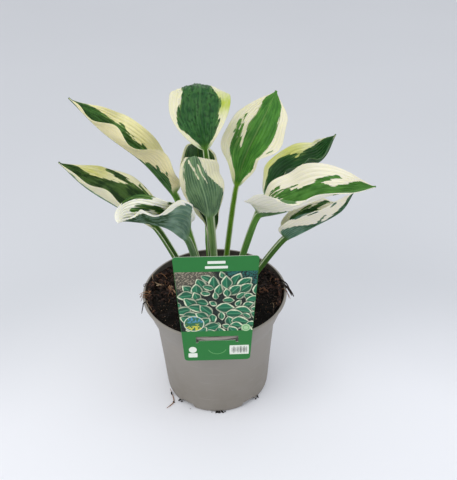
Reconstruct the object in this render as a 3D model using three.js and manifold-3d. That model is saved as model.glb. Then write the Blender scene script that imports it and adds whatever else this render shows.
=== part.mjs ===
// A young variegated hosta in a moulded nursery pot, with a plain card hung on the rim.
// Millimetres, +Z up. The origin is the middle of the pot's underside, on the surface it
// stands on. -Y is the front, the side that the card hangs on.

import * as THREE from 'three';
import { mergeVertices } from 'three/addons/utils/BufferGeometryUtils.js';
import Module from 'manifold-3d';

const wasm = await Module();
wasm.setup();

// Pot: outer sizes and wall
const RIM_RADIUS = 85;
const POT_HEIGHT = 140;
const LIP_HEIGHT = 3.2;
const LIP_OVERHANG = 1.3;
const LIP_WIDTH = 3.4;
const COLLAR_FOOT_RADIUS = 74.8;
const COLLAR_FOOT_HEIGHT = 111.5;
const COLLAR_STEP = 9;
const BODY_TOP_RADIUS = 70.8;
const FOOT_RADIUS = 64;
const FOOT_ROUND = 5;
const FOOT_RING_WIDTH = 5;
const WALL = 1.6;
const FLOOR_UNDERSIDE = 4.4;
const FLOOR_THICKNESS = 1.6;
const CENTRE_PAD_RADIUS = 14;
const POT_SIDES = 48;

// Drainage: notches in the foot, which open the floor's edge
const NOTCHES = 5;
const NOTCH_FIRST_ANGLE = 35;
const NOTCH_WIDTH_LOW = 23;
const NOTCH_WIDTH_HIGH = 15;
const NOTCH_HEIGHT = 7.2;
const NOTCH_REACH_IN = 54;

// Growing medium
const CLEARANCE = 0.3;
const MEDIUM_LEVEL = 128;
const CROWN_MOUND = 3.5;
const SIDE_HEAP = 6;
const BACK_HEAP = 4;
const MEDIUM_BUMP = 1.3;
const MEDIUM_SIDES = 40;

// Label: a tapered card, whose slit hangs on the rim
const LABEL_TOP = 248.5;
const LABEL_FOOT = 107.5;
const LABEL_TOP_WIDTH = 88;
const LABEL_FOOT_WIDTH = 72;
const LABEL_CORNER = 4;
const LABEL_THICKNESS = 0.6;
const LABEL_BACK_Y = -84;
const LABEL_X = 0.6;
const LABEL_TURN = 0.9;
const SLIT_LENGTH = 46;
const SLIT_FOOT = 136.4;
const SLIT_TOP = 142.4;
const SLIT_RELIEF = 2.8;

// Leaves: what is alike on all of them
const ROOT_HEIGHT = 116;
const PETIOLE_HALF_WIDTH = [3.6, 4.6];
const PETIOLE_THICKNESS = [4.2, 3.2];
const PETIOLE_LEAN = 0.9;
const PETIOLE_TURN = 0.08;
const PETIOLE_FOLD = 35;
const PETIOLE_CURL = 10;
const BLADE_THICKNESS = 0.8;
const TIP_HALF_WIDTH = 1.4;
const SOCKET_RADIUS = 4.9;
const SOCKET_AIM = 0.12;
const SOCKET_LENGTH = 30;
const SOCKET_FLOOR = 2.5;
const PETIOLE_STEPS = 9;
const BLADE_STEPS = 14;
const ACROSS_STEPS = 4;

// Each leaf: where it leaves the medium, the points that its midrib runs through from the
// petiole's end to the tip, the compass bearing it leans to, the half widths left and right
// of the midrib, and how the blade is turned, folded and waved. Lists of three are values
// at the blade's base, middle and tip, in degrees.
const LEAVES = {
  leaf_left_upper: {
    root: [-6, 8], rib: [[-41, 16, 263], [-70, 19, 302], [-111, 26, 336], [-145, 40, 369]],
    bearing: 176, half: [33, 29], broadest: [0.47, 0.53], roll: [30, -6, 2],
    fold: [[59, 49, 40], [55, 52, 34]], curl: [[9, 4, 8], [9, 10, 6]],
    lobe: [3, 1], wave: 7.0, waves: 3.1, phase: 0.54,
  },
  leaf_left_lower: {
    root: [-14, -2], rib: [[-65, -1, 233], [-98, -4, 260], [-130, -7, 288], [-155, -9, 320]],
    bearing: 179, half: [23, 38], broadest: [0.45, 0.45], roll: [-19, 6, -2],
    fold: [[37, 37, 37], [51, 37, 39]], curl: [[1, 8, 5], [13, 2, 4]],
    lobe: [-2, 7], wave: 2.5, waves: 2.9, phase: 0.9,
  },
  leaf_front_left: {
    root: [-6, -15], rib: [[-28, -42, 241], [-46, -54, 266], [-81, -73, 287], [-88, -96, 300]],
    bearing: 214, half: [34, 31], broadest: [0.3, 0.42], roll: [29, -27, 42],
    fold: [[66, 67, 33], [69, 68, 7]], curl: [[8, 8, 7], [8, 9, -13]],
    lobe: [-26, 4], wave: 5.5, waves: 2.9, phase: 0.63,
  },
  leaf_back_centre: {
    root: [4, 4], rib: [[-4, 17, 315], [-9, 36, 341], [-8, 59, 365], [-10, 86, 362], [-15, 105, 343]],
    bearing: 83, half: [33, 32], broadest: [0.44, 0.44], roll: [0, 1, 0],
    fold: [[55, 0, -10], [55, -1, -10]], curl: [[10, -15, -10], [10, -16, -10]],
    lobe: [0, 4], wave: 2.0, waves: 2.8, phase: 0.96,
  },
  leaf_front_centre: {
    root: [3, -9], rib: [[-3, -24, 256], [-6, -27, 281], [-13, -16, 303], [-16, 0, 316], [-18, 15, 300]],
    bearing: 271, half: [28, 20], broadest: [0.52, 0.41], roll: [-8, 9, -6],
    fold: [[31, 18, 2], [38, 17, 11]], curl: [[2, 8, -2], [5, -3, 1]],
    lobe: [5, 4], wave: 2.6, waves: 2.9, phase: 0.98,
  },
  leaf_back_right: {
    root: [8, 14], rib: [[28, 18, 269], [39, 39, 294], [59, 57, 328], [76, 76, 355]],
    bearing: 66, half: [32, 44], broadest: [0.5, 0.5], roll: [15, -7, 14],
    fold: [[57, 20, 8], [50, 25, -3]], curl: [[18, 24, -1], [16, 8, -6]],
    lobe: [-2, 2], wave: 4.0, waves: 2.8, phase: 0.03,
  },
  leaf_right_upper: {
    root: [15, 6], rib: [[61, 19, 253], [89, 49, 264], [126, 51, 281], [139, 44, 315]],
    bearing: 17, half: [33, 21], broadest: [0.53, 0.53], roll: [31, 8, 7],
    fold: [[41, 16, 7], [48, 59, 55]], curl: [[10, -5, -2], [8, 4, 0]],
    lobe: [5, 7], wave: 2.9, waves: 3.1, phase: 0.99,
  },
  leaf_right_front: {
    root: [11, -13], rib: [[52, -11, 249], [81, -35, 270], [118, -51, 295], [157, -77, 318]],
    bearing: -4, half: [41, 53], broadest: [0.47, 0.47], roll: [-23, -5, -3],
    fold: [[50, 37, 18], [59, 40, 19]], curl: [[8, 8, 6], [15, 0, 7]],
    lobe: [9, 9], wave: 5.9, waves: 2.6, phase: 0.98,
  },
  leaf_right_lower: {
    root: [21, 1], rib: [[82, -5, 213], [111, -11, 233], [140, -7, 248], [156, 6, 263]],
    bearing: -8, half: [27, 36], broadest: [0.4, 0.4], roll: [-1, 0, -24],
    fold: [[61, 50, 8], [62, 48, 27]], curl: [[13, 18, -1], [12, 7, 12]],
    lobe: [7, 5], wave: 1.3, waves: 3.0, phase: 0.01,
  },
  leaf_inner: {
    root: [-2, 20], rib: [[-6, 26, 194], [-7, 34, 239], [-12, 41, 284], [-14, 67, 302]],
    bearing: 97, half: [36, 27], broadest: [0.54, 0.54], roll: [21, 2, 8],
    fold: [[66, 49, 34], [61, 48, 26]], curl: [[8, 9, 3], [11, 0, -1]],
    lobe: [-4, 0], wave: 3.0, waves: 3.1, phase: 0.08,
  },
};

const POT_PLASTIC = new THREE.MeshStandardMaterial({ color: 0x87827b, roughness: 0.55, metalness: 0 });
const PEAT = new THREE.MeshStandardMaterial({ color: 0x2b2019, roughness: 0.95, metalness: 0 });
const LABEL_CARD = new THREE.MeshStandardMaterial({ color: 0x3a8045, roughness: 0.4, metalness: 0 });
const LEAF = new THREE.MeshStandardMaterial({ color: 0x4f8a45, roughness: 0.5, metalness: 0 });

const clamp = THREE.MathUtils.clamp;
const radians = THREE.MathUtils.degToRad;

// A mesh's solid, for joining and cutting, and the way back to a geometry.
function toSolid(geometry) {
  const bare = geometry.clone();
  bare.deleteAttribute('normal');
  bare.deleteAttribute('uv');
  const merged = mergeVertices(bare, 1e-4);
  const positions = new Float32Array(merged.attributes.position.array);
  const triangles = new Uint32Array(merged.index.array);
  return new wasm.Manifold(new wasm.Mesh({ numProp: 3, vertProperties: positions, triVerts: triangles }));
}

function toGeometry(solid) {
  const mesh = solid.getMesh();
  const geometry = new THREE.BufferGeometry();
  geometry.setAttribute('position', new THREE.BufferAttribute(new Float32Array(mesh.vertProperties), 3));
  geometry.setIndex(new THREE.BufferAttribute(new Uint32Array(mesh.triVerts), 1));
  geometry.computeVertexNormals();
  return geometry;
}

// A lathe turned about Z: the points are [radius, height], anticlockwise seen from the front.
function turned(points, sides) {
  const geometry = new THREE.LatheGeometry(points.map(([r, z]) => new THREE.Vector2(r, z)), sides);
  geometry.rotateX(Math.PI / 2);
  return geometry;
}

function collarRadius(height) {
  const top = POT_HEIGHT - LIP_HEIGHT;
  const share = (height - COLLAR_FOOT_HEIGHT) / (top - COLLAR_FOOT_HEIGHT);
  return THREE.MathUtils.lerp(COLLAR_FOOT_RADIUS, RIM_RADIUS - LIP_OVERHANG, share);
}

// The inside of the pot's wall, from the floor to the given height, set in by a margin.
function insideProfile(floorHeight, topHeight, margin) {
  const inset = WALL + margin;
  return [
    [FOOT_RADIUS - FOOT_ROUND * 0.7 - inset, floorHeight],
    [FOOT_RADIUS - 0.5 - inset, floorHeight + FOOT_ROUND * 0.7],
    [BODY_TOP_RADIUS - inset, COLLAR_FOOT_HEIGHT - COLLAR_STEP],
    [COLLAR_FOOT_RADIUS - inset, COLLAR_FOOT_HEIGHT],
    [collarRadius(topHeight) - inset, topHeight],
  ];
}

function makePot() {
  const lipFoot = POT_HEIGHT - LIP_HEIGHT;
  const footRound = [0, 0.25, 0.5, 0.75, 1].map((t) => {
    const angle = t * Math.PI / 2;
    return [
      FOOT_RADIUS - FOOT_ROUND * 0.55 * (1 - Math.sin(angle)),
      FOOT_ROUND * (1 - Math.cos(angle)),
    ];
  });
  const ringInside = FOOT_RADIUS - FOOT_ROUND * 0.55 - FOOT_RING_WIDTH;
  const outside = [
    [0, 0],
    [CENTRE_PAD_RADIUS, 0],
    [CENTRE_PAD_RADIUS, FLOOR_UNDERSIDE],
    [ringInside, FLOOR_UNDERSIDE],
    [ringInside, 0],
    ...footRound,
    [BODY_TOP_RADIUS, COLLAR_FOOT_HEIGHT - COLLAR_STEP],
    [COLLAR_FOOT_RADIUS, COLLAR_FOOT_HEIGHT],
    [RIM_RADIUS - LIP_OVERHANG, lipFoot],
    [RIM_RADIUS, lipFoot + 0.6],
    [RIM_RADIUS, POT_HEIGHT - 0.8],
    [RIM_RADIUS - 0.8, POT_HEIGHT],
    [RIM_RADIUS - LIP_WIDTH + 0.5, POT_HEIGHT],
    [RIM_RADIUS - LIP_WIDTH, POT_HEIGHT - 0.8],
  ];
  const floorTop = FLOOR_UNDERSIDE + FLOOR_THICKNESS;
  const inside = insideProfile(floorTop, lipFoot - 2, 0).reverse();
  let pot = toSolid(turned([...outside, ...inside, [0, floorTop]], POT_SIDES));
  for (let i = 0; i < NOTCHES; i += 1) {
    const outline = new THREE.Shape([
      new THREE.Vector2(-NOTCH_WIDTH_LOW / 2, -1),
      new THREE.Vector2(NOTCH_WIDTH_LOW / 2, -1),
      new THREE.Vector2(NOTCH_WIDTH_HIGH / 2, NOTCH_HEIGHT),
      new THREE.Vector2(-NOTCH_WIDTH_HIGH / 2, NOTCH_HEIGHT),
    ]);
    const notch = new THREE.ExtrudeGeometry(outline, { depth: 30, bevelEnabled: false });
    notch.translate(0, 0, NOTCH_REACH_IN);
    notch.rotateX(Math.PI / 2);
    notch.rotateZ(radians(NOTCH_FIRST_ANGLE + i * 360 / NOTCHES));
    pot = pot.subtract(toSolid(notch));
  }
  return toGeometry(pot);
}

// The height of the medium's surface: a low mound round the crown, heaped at both sides and
// at the back.
function mediumHeight(x, y) {
  const radius = Math.hypot(x, y);
  const mound = CROWN_MOUND * Math.exp(-((radius / 34) ** 2));
  const outwards = [x / Math.max(radius, 1), Math.max(y, 0) / Math.max(radius, 1)];
  const share = SIDE_HEAP * outwards[0] ** 2 + BACK_HEAP * outwards[1] ** 2;
  const heap = share * Math.min(1, (radius / 74) ** 4);
  const bumps = MEDIUM_BUMP * (Math.sin(x * 0.31 + y * 0.11) + Math.cos(y * 0.27 - x * 0.17)) / 2;
  return MEDIUM_LEVEL + mound + heap + bumps;
}

function makeMedium(spines) {
  const floorTop = FLOOR_UNDERSIDE + FLOOR_THICKNESS + CLEARANCE;
  const side = insideProfile(floorTop, MEDIUM_LEVEL, CLEARANCE);
  const edge = side[side.length - 1][0];
  const rings = [0.93, 0.83, 0.72, 0.6, 0.48, 0.35, 0.2, 0].map((share) => [edge * share, MEDIUM_LEVEL]);
  const geometry = turned([[0, floorTop], ...side, ...rings], MEDIUM_SIDES);
  const place = geometry.attributes.position;
  for (let i = 0; i < place.count; i += 1) {
    if (place.getZ(i) > MEDIUM_LEVEL - 0.01) {
      const radius = Math.hypot(place.getX(i), place.getY(i));
      const height = mediumHeight(place.getX(i), place.getY(i));
      const wall = collarRadius(height) - WALL - CLEARANCE;
      const reach = radius > edge - 0.5 ? wall / radius : 1;
      place.setXYZ(i, place.getX(i) * reach, place.getY(i) * reach, height);
    }
  }
  let medium = toSolid(geometry);
  for (const spine of spines) {
    const bottom = spine.pointAt(0);
    const axis = spine.pointAt(SOCKET_AIM).sub(bottom).normalize();
    const socket = new THREE.CylinderGeometry(SOCKET_RADIUS, SOCKET_RADIUS, SOCKET_LENGTH, 12);
    socket.translate(0, SOCKET_LENGTH / 2 - SOCKET_FLOOR, 0);
    socket.applyQuaternion(new THREE.Quaternion().setFromUnitVectors(new THREE.Vector3(0, 1, 0), axis));
    socket.translate(bottom.x, bottom.y, bottom.z);
    medium = medium.subtract(toSolid(socket));
  }
  return toGeometry(medium);
}

function makeLabel() {
  const top = LABEL_TOP_WIDTH / 2;
  const foot = LABEL_FOOT_WIDTH / 2;
  const r = LABEL_CORNER;
  const card = new THREE.Shape();
  card.moveTo(-foot + r, LABEL_FOOT);
  card.lineTo(foot - r, LABEL_FOOT);
  card.quadraticCurveTo(foot, LABEL_FOOT, foot + 0.05 * r, LABEL_FOOT + r);
  card.lineTo(top - 0.05 * r, LABEL_TOP - r);
  card.quadraticCurveTo(top, LABEL_TOP, top - r, LABEL_TOP);
  card.lineTo(-top + r, LABEL_TOP);
  card.quadraticCurveTo(-top, LABEL_TOP, -top + 0.05 * r, LABEL_TOP - r);
  card.lineTo(-foot - 0.05 * r, LABEL_FOOT + r);
  card.quadraticCurveTo(-foot, LABEL_FOOT, -foot + r, LABEL_FOOT);
  const half = SLIT_LENGTH / 2;
  const slit = new THREE.Path();
  slit.moveTo(-half, SLIT_TOP);
  slit.lineTo(-half, SLIT_FOOT - SLIT_RELIEF);
  slit.lineTo(-half + SLIT_RELIEF, SLIT_FOOT - SLIT_RELIEF);
  slit.lineTo(-half + SLIT_RELIEF, SLIT_FOOT);
  slit.lineTo(half - SLIT_RELIEF, SLIT_FOOT);
  slit.lineTo(half - SLIT_RELIEF, SLIT_FOOT - SLIT_RELIEF);
  slit.lineTo(half, SLIT_FOOT - SLIT_RELIEF);
  slit.lineTo(half, SLIT_TOP);
  card.holes.push(slit);
  const geometry = new THREE.ExtrudeGeometry(card, {
    depth: LABEL_THICKNESS, bevelEnabled: false, curveSegments: 4,
  });
  geometry.translate(0, -SLIT_FOOT, 0);
  geometry.rotateZ(radians(-LABEL_TURN));
  geometry.rotateX(Math.PI / 2);
  geometry.translate(LABEL_X, LABEL_BACK_Y, SLIT_FOOT);
  return geometry;
}

// A value that runs through three others, at 0, a half and 1.
function through3([base, middle, tip], s) {
  return base * (1 - s) * (1 - 2 * s) + middle * 4 * s * (1 - s) + tip * s * (2 * s - 1);
}

// The blade's half width as a share of its greatest: 0 at base and tip, 1 at the broadest.
function outline(s, broadest) {
  const power = Math.log(0.5) / Math.log(broadest);
  return Math.sin(Math.PI * clamp(s, 1e-6, 1 - 1e-6) ** power) ** (0.75 + 0.4 * s);
}

// The leaf's centre line: v from 0 to 1 is the petiole, from 1 to 2 the midrib.
function makeSpine(leaf) {
  const points = leaf.rib.map((p) => new THREE.Vector3(...p));
  const midrib = new THREE.CatmullRomCurve3(points, false, 'catmullrom', 0.5);
  const root = new THREE.Vector3(leaf.root[0], leaf.root[1], ROOT_HEIGHT);
  const joint = points[0];
  const reach = joint.clone().sub(root);
  const away = points[1].clone().sub(joint).normalize();
  const rise = new THREE.Vector3(0, 0, 1 - PETIOLE_LEAN)
    .addScaledVector(reach.clone().normalize(), PETIOLE_LEAN).normalize();
  const petiole = new THREE.CubicBezierCurve3(
    root,
    root.clone().addScaledVector(rise, reach.length() * 0.36),
    joint.clone().addScaledVector(away, -reach.length() * PETIOLE_TURN),
    joint,
  );
  return {
    pointAt: (v) => (v <= 1 ? petiole.getPoint(v) : midrib.getPoint(v - 1)),
    directionAt: (v) => {
      if (v <= 1) {
        return petiole.getTangent(v);
      }
      return midrib.getTangent(v - 1);
    },
  };
}

// The upper face of a leaf at v along it and t across it, from -1 at the left margin to 1.
function leafPoint(leaf, spine, v, t) {
  const s = clamp(v - 1, 0, 1);
  const side = t < 0 ? 0 : 1;
  const sign = t < 0 ? -1 : 1;
  const u = Math.abs(t);
  const along = spine.directionAt(v);
  const bearing = radians(leaf.bearing);
  const across = new THREE.Vector3(Math.sin(bearing), -Math.cos(bearing), 0);
  across.addScaledVector(along, -across.dot(along)).normalize();
  const face = across.clone().cross(along);
  const roll = radians(through3(leaf.roll, s));
  const up = face.clone().multiplyScalar(Math.cos(roll)).addScaledVector(across, Math.sin(roll));
  const right = across.clone().multiplyScalar(Math.cos(roll)).addScaledVector(face, -Math.sin(roll));
  const [narrow, wide] = PETIOLE_HALF_WIDTH;
  const blade = outline(s, leaf.broadest[side]);
  let half = narrow + (wide - narrow) * v;
  if (v > 1) {
    half = Math.max(wide * (1 - s) ** 3 + leaf.half[side] * blade, TIP_HALF_WIDTH);
  }
  const opened = clamp(v, 0, 1);
  const fold = radians(THREE.MathUtils.lerp(PETIOLE_FOLD, through3(leaf.fold[side], s), opened));
  const curl = radians(THREE.MathUtils.lerp(PETIOLE_CURL, through3(leaf.curl[side], s), opened)) + 1e-6;
  const angle = fold + curl * u;
  const out = half * (Math.sin(angle) - Math.sin(fold)) / curl;
  const rise = half * (Math.cos(fold) - Math.cos(angle)) / curl;
  const ripple = v > 1 ? leaf.wave * u * u * blade
    * Math.sin(2 * Math.PI * (leaf.waves * s + leaf.phase + 0.27 * sign)) : 0;
  const back = leaf.lobe[side] * u ** 1.5 * 6 * s * Math.exp(1 - 6 * s);
  return spine.pointAt(v)
    .addScaledVector(right, sign * (out - ripple * Math.sin(angle)))
    .addScaledVector(up, rise + ripple * Math.cos(angle))
    .addScaledVector(along, -back);
}

// How thick the leaf is: a stout petiole that thins into the midrib, and a thin blade.
function leafThickness(v, t) {
  const s = clamp(v - 1, 0, 1);
  const [low, high] = PETIOLE_THICKNESS;
  const middle = v <= 1 ? low + (high - low) * v : BLADE_THICKNESS + (high - BLADE_THICKNESS) * (1 - s) ** 4;
  return BLADE_THICKNESS + (middle - BLADE_THICKNESS) * (1 - Math.abs(t)) ** 2;
}

// One closed skin: rings of upper points and, below them along the surface's normal, lower
// points. Both faces are split into triangles the same way, so they never cross.
function makeLeaf(leaf) {
  const spine = makeSpine(leaf);
  const vs = [];
  for (let i = 0; i < PETIOLE_STEPS; i += 1) {
    vs.push(i / PETIOLE_STEPS);
  }
  for (let i = 0; i <= BLADE_STEPS; i += 1) {
    vs.push(1 + i / BLADE_STEPS);
  }
  const ts = [];
  for (let j = -ACROSS_STEPS; j <= ACROSS_STEPS; j += 1) {
    ts.push(Math.sign(j) * (Math.abs(j) / ACROSS_STEPS) ** 1.2);
  }
  const upper = vs.map((v) => ts.map((t) => leafPoint(leaf, spine, v, t)));
  const rings = vs.length;
  const columns = ts.length;
  const lower = upper.map((ring, i) => ring.map((point, j) => {
    const before = upper[Math.max(i - 1, 0)][j];
    const after = upper[Math.min(i + 1, rings - 1)][j];
    const left = upper[i][Math.max(j - 1, 0)];
    const right = upper[i][Math.min(j + 1, columns - 1)];
    const normal = right.clone().sub(left).cross(after.clone().sub(before)).normalize();
    return point.clone().addScaledVector(normal, -leafThickness(vs[i], ts[j]));
  }));
  const positions = [];
  for (const point of [...upper.flat(), ...lower.flat()]) {
    positions.push(point.x, point.y, point.z);
  }
  const top = (i, j) => i * columns + j;
  const under = (i, j) => rings * columns + i * columns + j;
  const triangles = [];
  const last = columns - 1;
  for (let i = 0; i < rings - 1; i += 1) {
    for (let j = 0; j < last; j += 1) {
      triangles.push(top(i, j), top(i, j + 1), top(i + 1, j + 1));
      triangles.push(top(i, j), top(i + 1, j + 1), top(i + 1, j));
      triangles.push(under(i, j), under(i + 1, j + 1), under(i, j + 1));
      triangles.push(under(i, j), under(i + 1, j), under(i + 1, j + 1));
    }
    triangles.push(top(i, 0), top(i + 1, 0), under(i + 1, 0));
    triangles.push(top(i, 0), under(i + 1, 0), under(i, 0));
    triangles.push(top(i, last), under(i, last), under(i + 1, last));
    triangles.push(top(i, last), under(i + 1, last), top(i + 1, last));
  }
  for (let j = 0; j < last; j += 1) {
    triangles.push(top(0, j), under(0, j), under(0, j + 1));
    triangles.push(top(0, j), under(0, j + 1), top(0, j + 1));
    const end = rings - 1;
    triangles.push(top(end, j), top(end, j + 1), under(end, j + 1));
    triangles.push(top(end, j), under(end, j + 1), under(end, j));
  }
  const geometry = new THREE.BufferGeometry();
  geometry.setAttribute('position', new THREE.Float32BufferAttribute(positions, 3));
  geometry.setIndex(triangles);
  geometry.computeVertexNormals();
  return geometry;
}

function addMesh(group, name, geometry, material) {
  const mesh = new THREE.Mesh(geometry, material.clone());
  mesh.name = name;
  group.add(mesh);
}

const plant = new THREE.Group();
addMesh(plant, 'pot', makePot(), POT_PLASTIC);
addMesh(plant, 'growing_medium', makeMedium(Object.values(LEAVES).map(makeSpine)), PEAT);
addMesh(plant, 'plant_label', makeLabel(), LABEL_CARD);
for (const [name, leaf] of Object.entries(LEAVES)) {
  addMesh(plant, name, makeLeaf(leaf), LEAF);
}

export default plant;
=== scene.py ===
# %% [markdown]
# # A young variegated hosta in its nursery pot
# The plant was bought as it stands: ten folded, cream-edged leaves on channelled stalks, a
# moulded taupe pot, dark peaty growing medium and a printed card hung on the pot's rim.
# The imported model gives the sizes. Each surface here is worked out again with numpy at a
# finer step, and then gets a finish made of shader nodes. The frame comes first, because
# every piece is placed by it.

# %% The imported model, as the fixed frame
import math
from functools import partial

import bpy
import numpy as np
from mathutils import Matrix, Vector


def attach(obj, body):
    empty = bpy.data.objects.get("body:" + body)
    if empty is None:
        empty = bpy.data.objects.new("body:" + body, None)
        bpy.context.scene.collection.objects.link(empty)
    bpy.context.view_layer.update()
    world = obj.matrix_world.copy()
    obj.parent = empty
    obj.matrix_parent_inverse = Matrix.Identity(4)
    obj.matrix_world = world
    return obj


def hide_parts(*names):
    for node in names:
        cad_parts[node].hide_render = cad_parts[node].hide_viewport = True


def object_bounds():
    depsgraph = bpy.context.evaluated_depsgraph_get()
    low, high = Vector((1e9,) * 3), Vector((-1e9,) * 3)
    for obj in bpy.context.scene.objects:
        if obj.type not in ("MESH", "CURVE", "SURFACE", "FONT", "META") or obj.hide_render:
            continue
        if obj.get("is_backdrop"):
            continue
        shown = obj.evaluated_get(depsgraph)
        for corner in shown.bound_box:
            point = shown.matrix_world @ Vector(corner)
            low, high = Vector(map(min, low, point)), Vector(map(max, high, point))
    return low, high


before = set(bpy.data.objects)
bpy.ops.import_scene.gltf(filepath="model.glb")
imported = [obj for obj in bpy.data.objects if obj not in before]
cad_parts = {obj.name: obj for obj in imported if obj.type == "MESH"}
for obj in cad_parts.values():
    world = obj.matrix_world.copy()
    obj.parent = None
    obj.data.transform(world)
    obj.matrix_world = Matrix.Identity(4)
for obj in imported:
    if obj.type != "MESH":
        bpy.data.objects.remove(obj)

cad_low, cad_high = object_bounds()
MM = 0.001
print("nodes in the frame:", ", ".join(sorted(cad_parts)))

# %% [markdown]
# ## Helpers
# A colour is written as it is seen on a screen, so one function turns it to the linear
# light that shaders add up. A shader is a web of nodes; one function adds a node, sets its
# fields and joins its sockets. Shader lengths are metres, and a noise's scale counts the
# cells in a metre, so a third function works that out from a cell's real size.

# %% Colour and node helpers
def linear(code):
    """A screen colour as linear light: each channel c becomes c / 12.92 up to 0.04045, and
    ((c + 0.055) / 1.055) to the power 2.4 above it."""
    channels = np.array([int(code[i:i + 2], 16) / 255 for i in (1, 3, 5)])
    light = np.where(channels <= 0.04045, channels / 12.92, ((channels + 0.055) / 1.055) ** 2.4)
    return (*light.tolist(), 1.0)


def add(tree, kind, inputs=None, **settings):
    """Adds one shader node. The settings are its own fields, and inputs maps a socket's name
    or number to a value or to another node's output. Returns the node."""
    node = tree.nodes.new("ShaderNode" + kind)
    for field, value in settings.items():
        setattr(node, field, value)
    for socket, value in (inputs or {}).items():
        if isinstance(value, bpy.types.NodeSocket):
            tree.links.new(value, node.inputs[socket])
        else:
            node.inputs[socket].default_value = value
    return node


def new_finish(name, **values):
    """An empty material with one principled shader, whose named sockets get these values.
    Returns the material, its node tree and the shader."""
    finish = bpy.data.materials.new(name)
    finish.use_nodes = True
    tree = finish.node_tree
    shader = tree.nodes["Principled BSDF"]
    for socket, value in values.items():
        shader.inputs[socket.replace("_", " ")].default_value = value
    return finish, tree, shader


def cells_of(size):
    """How many cells of that size in mm lie in a metre."""
    return 1 / (size * MM)


print("screen grey #808080 as linear light:", round(linear("#808080")[0], 3))

# %% [markdown]
# ### From points to a piece
# Modelling by hand would never repeat exactly, so each surface is a grid of points from a formula. Its faces
# join neighbours in the grid, and one function puts both into a mesh, with what each point knows about the
# surface. The object stays at the origin, and its place is in its points.

# %% Mesh helpers
def grid_faces(rows, columns, start=0, closed=False):
    """The quads of a grid of points that are numbered row by row: each joins a point, the
    next in its row, and the two after them in the next row. A closed grid joins each row's
    last point to its first."""
    ids = start + np.arange(rows * columns).reshape(rows, columns)
    if closed:
        ids = np.hstack([ids, ids[:, :1]])
    return np.stack([ids[:-1, :-1], ids[:-1, 1:], ids[1:, 1:], ids[1:, :-1]], -1).reshape(-1, 4)


def make_piece(name, points, faces, finish, smooth=True, uv=None, knows=None):
    """A piece from points in millimetres. What each point knows, such as how far it is
    from an edge, is kept as a named number, or as a colour where there are four."""
    mesh = bpy.data.meshes.new(name)
    faces = [f.tolist() for f in faces] if isinstance(faces, list) else faces.tolist()
    mesh.from_pydata((np.asarray(points, float) * MM).tolist(), [], faces)
    mesh.polygons.foreach_set("use_smooth", np.full(len(mesh.polygons), smooth))
    if uv is not None:
        corners = np.empty(len(mesh.loops), np.int32)
        mesh.loops.foreach_get("vertex_index", corners)
        layer = mesh.uv_layers.new(name="UVMap")
        layer.data.foreach_set("uv", np.asarray(uv, np.float32)[corners].ravel())
    for key, values in (knows or {}).items():
        values = np.asarray(values, np.float32)
        kind, field = ("FLOAT_COLOR", "color") if values.ndim == 2 else ("FLOAT", "value")
        mesh.attributes.new(key, kind, "POINT").data.foreach_set(field, values.ravel())
    mesh.update()
    mesh.materials.append(finish)
    piece = bpy.data.objects.new(name, mesh)
    bpy.context.scene.collection.objects.link(piece)
    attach(piece, "root")
    mesh.calc_loop_triangles()
    print(f"{name}: {len(mesh.vertices)} points, {len(mesh.loop_triangles)} triangles")
    return piece


print("a grid of 3 by 4 points has", len(grid_faces(3, 4)), "faces")

# %% [markdown]
# ### Soft steps and soft hills
# Nothing on a plant begins abruptly. A smooth step fades one thing into another, and hills
# of random height, blended by such steps, make lumps in peat and puckers in a leaf. The
# seed is fixed, so the hills are the same each time.

# %% Helpers for vectors and soft shapes
def unit(vectors):
    """Each vector divided by its own length."""
    return vectors / np.linalg.norm(vectors, axis=-1, keepdims=True)


def smoothstep(low, high, x):
    """0 below low, 1 above high, and 3w^2 - 2w^3 between them."""
    w = np.clip((x - low) / (high - low), 0, 1)
    return w * w * (3 - 2 * w)


def bumps(x, y, seed):
    """Soft random hills from 0 to 1: every whole-number point has its own random height,
    and between four of them the heights are blended by a smooth step each way. The heights
    repeat after 128 steps."""
    heights = np.random.default_rng(seed).random((128, 128))
    i, j = np.floor(x).astype(int), np.floor(y).astype(int)
    a, b = smoothstep(0, 1, x - i), smoothstep(0, 1, y - j)
    at = lambda p, q: heights[p % 128, q % 128]
    low = at(i, j) * (1 - a) + at(i + 1, j) * a
    high = at(i, j + 1) * (1 - a) + at(i + 1, j + 1) * a
    return low * (1 - b) + high * b


print("hills at four places:", bumps(np.arange(4) / 2, np.zeros(4), 1).round(2))

# %% [markdown]
# ## Camera
# The photograph was taken from in front and above: the camera looks down by about 38
# degrees from 0.83 m, and is tipped very slightly. The plant isn't in the middle of the
# frame, so the camera is turned a little until the pot's axis falls where it does in the
# picture. Turning it, instead of shifting the lens, keeps the other views simple. The
# distance, angle and focal length were worked out from the outlines of the rim and foot.

# %% The camera at the photograph's angle
IMAGE_WIDTH, IMAGE_HEIGHT = 457, 480
FOCAL_PIXELS = 700
SENSOR_WIDTH = 36
CAMERA_DISTANCE = 0.83
CAMERA_ELEVATION = math.radians(38.3)
CAMERA_ROLL = math.radians(-2.1)
AIM_HEIGHT = 0.140
AIM_PIXEL = (212.9, 289.0)


def turned(first, second, angle):
    """Two directions turned in their own plane, the first towards the second: first cos +
    second sin, and second cos - first sin."""
    c, s = math.cos(angle), math.sin(angle)
    return first * c + second * s, second * c - first * s


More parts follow.
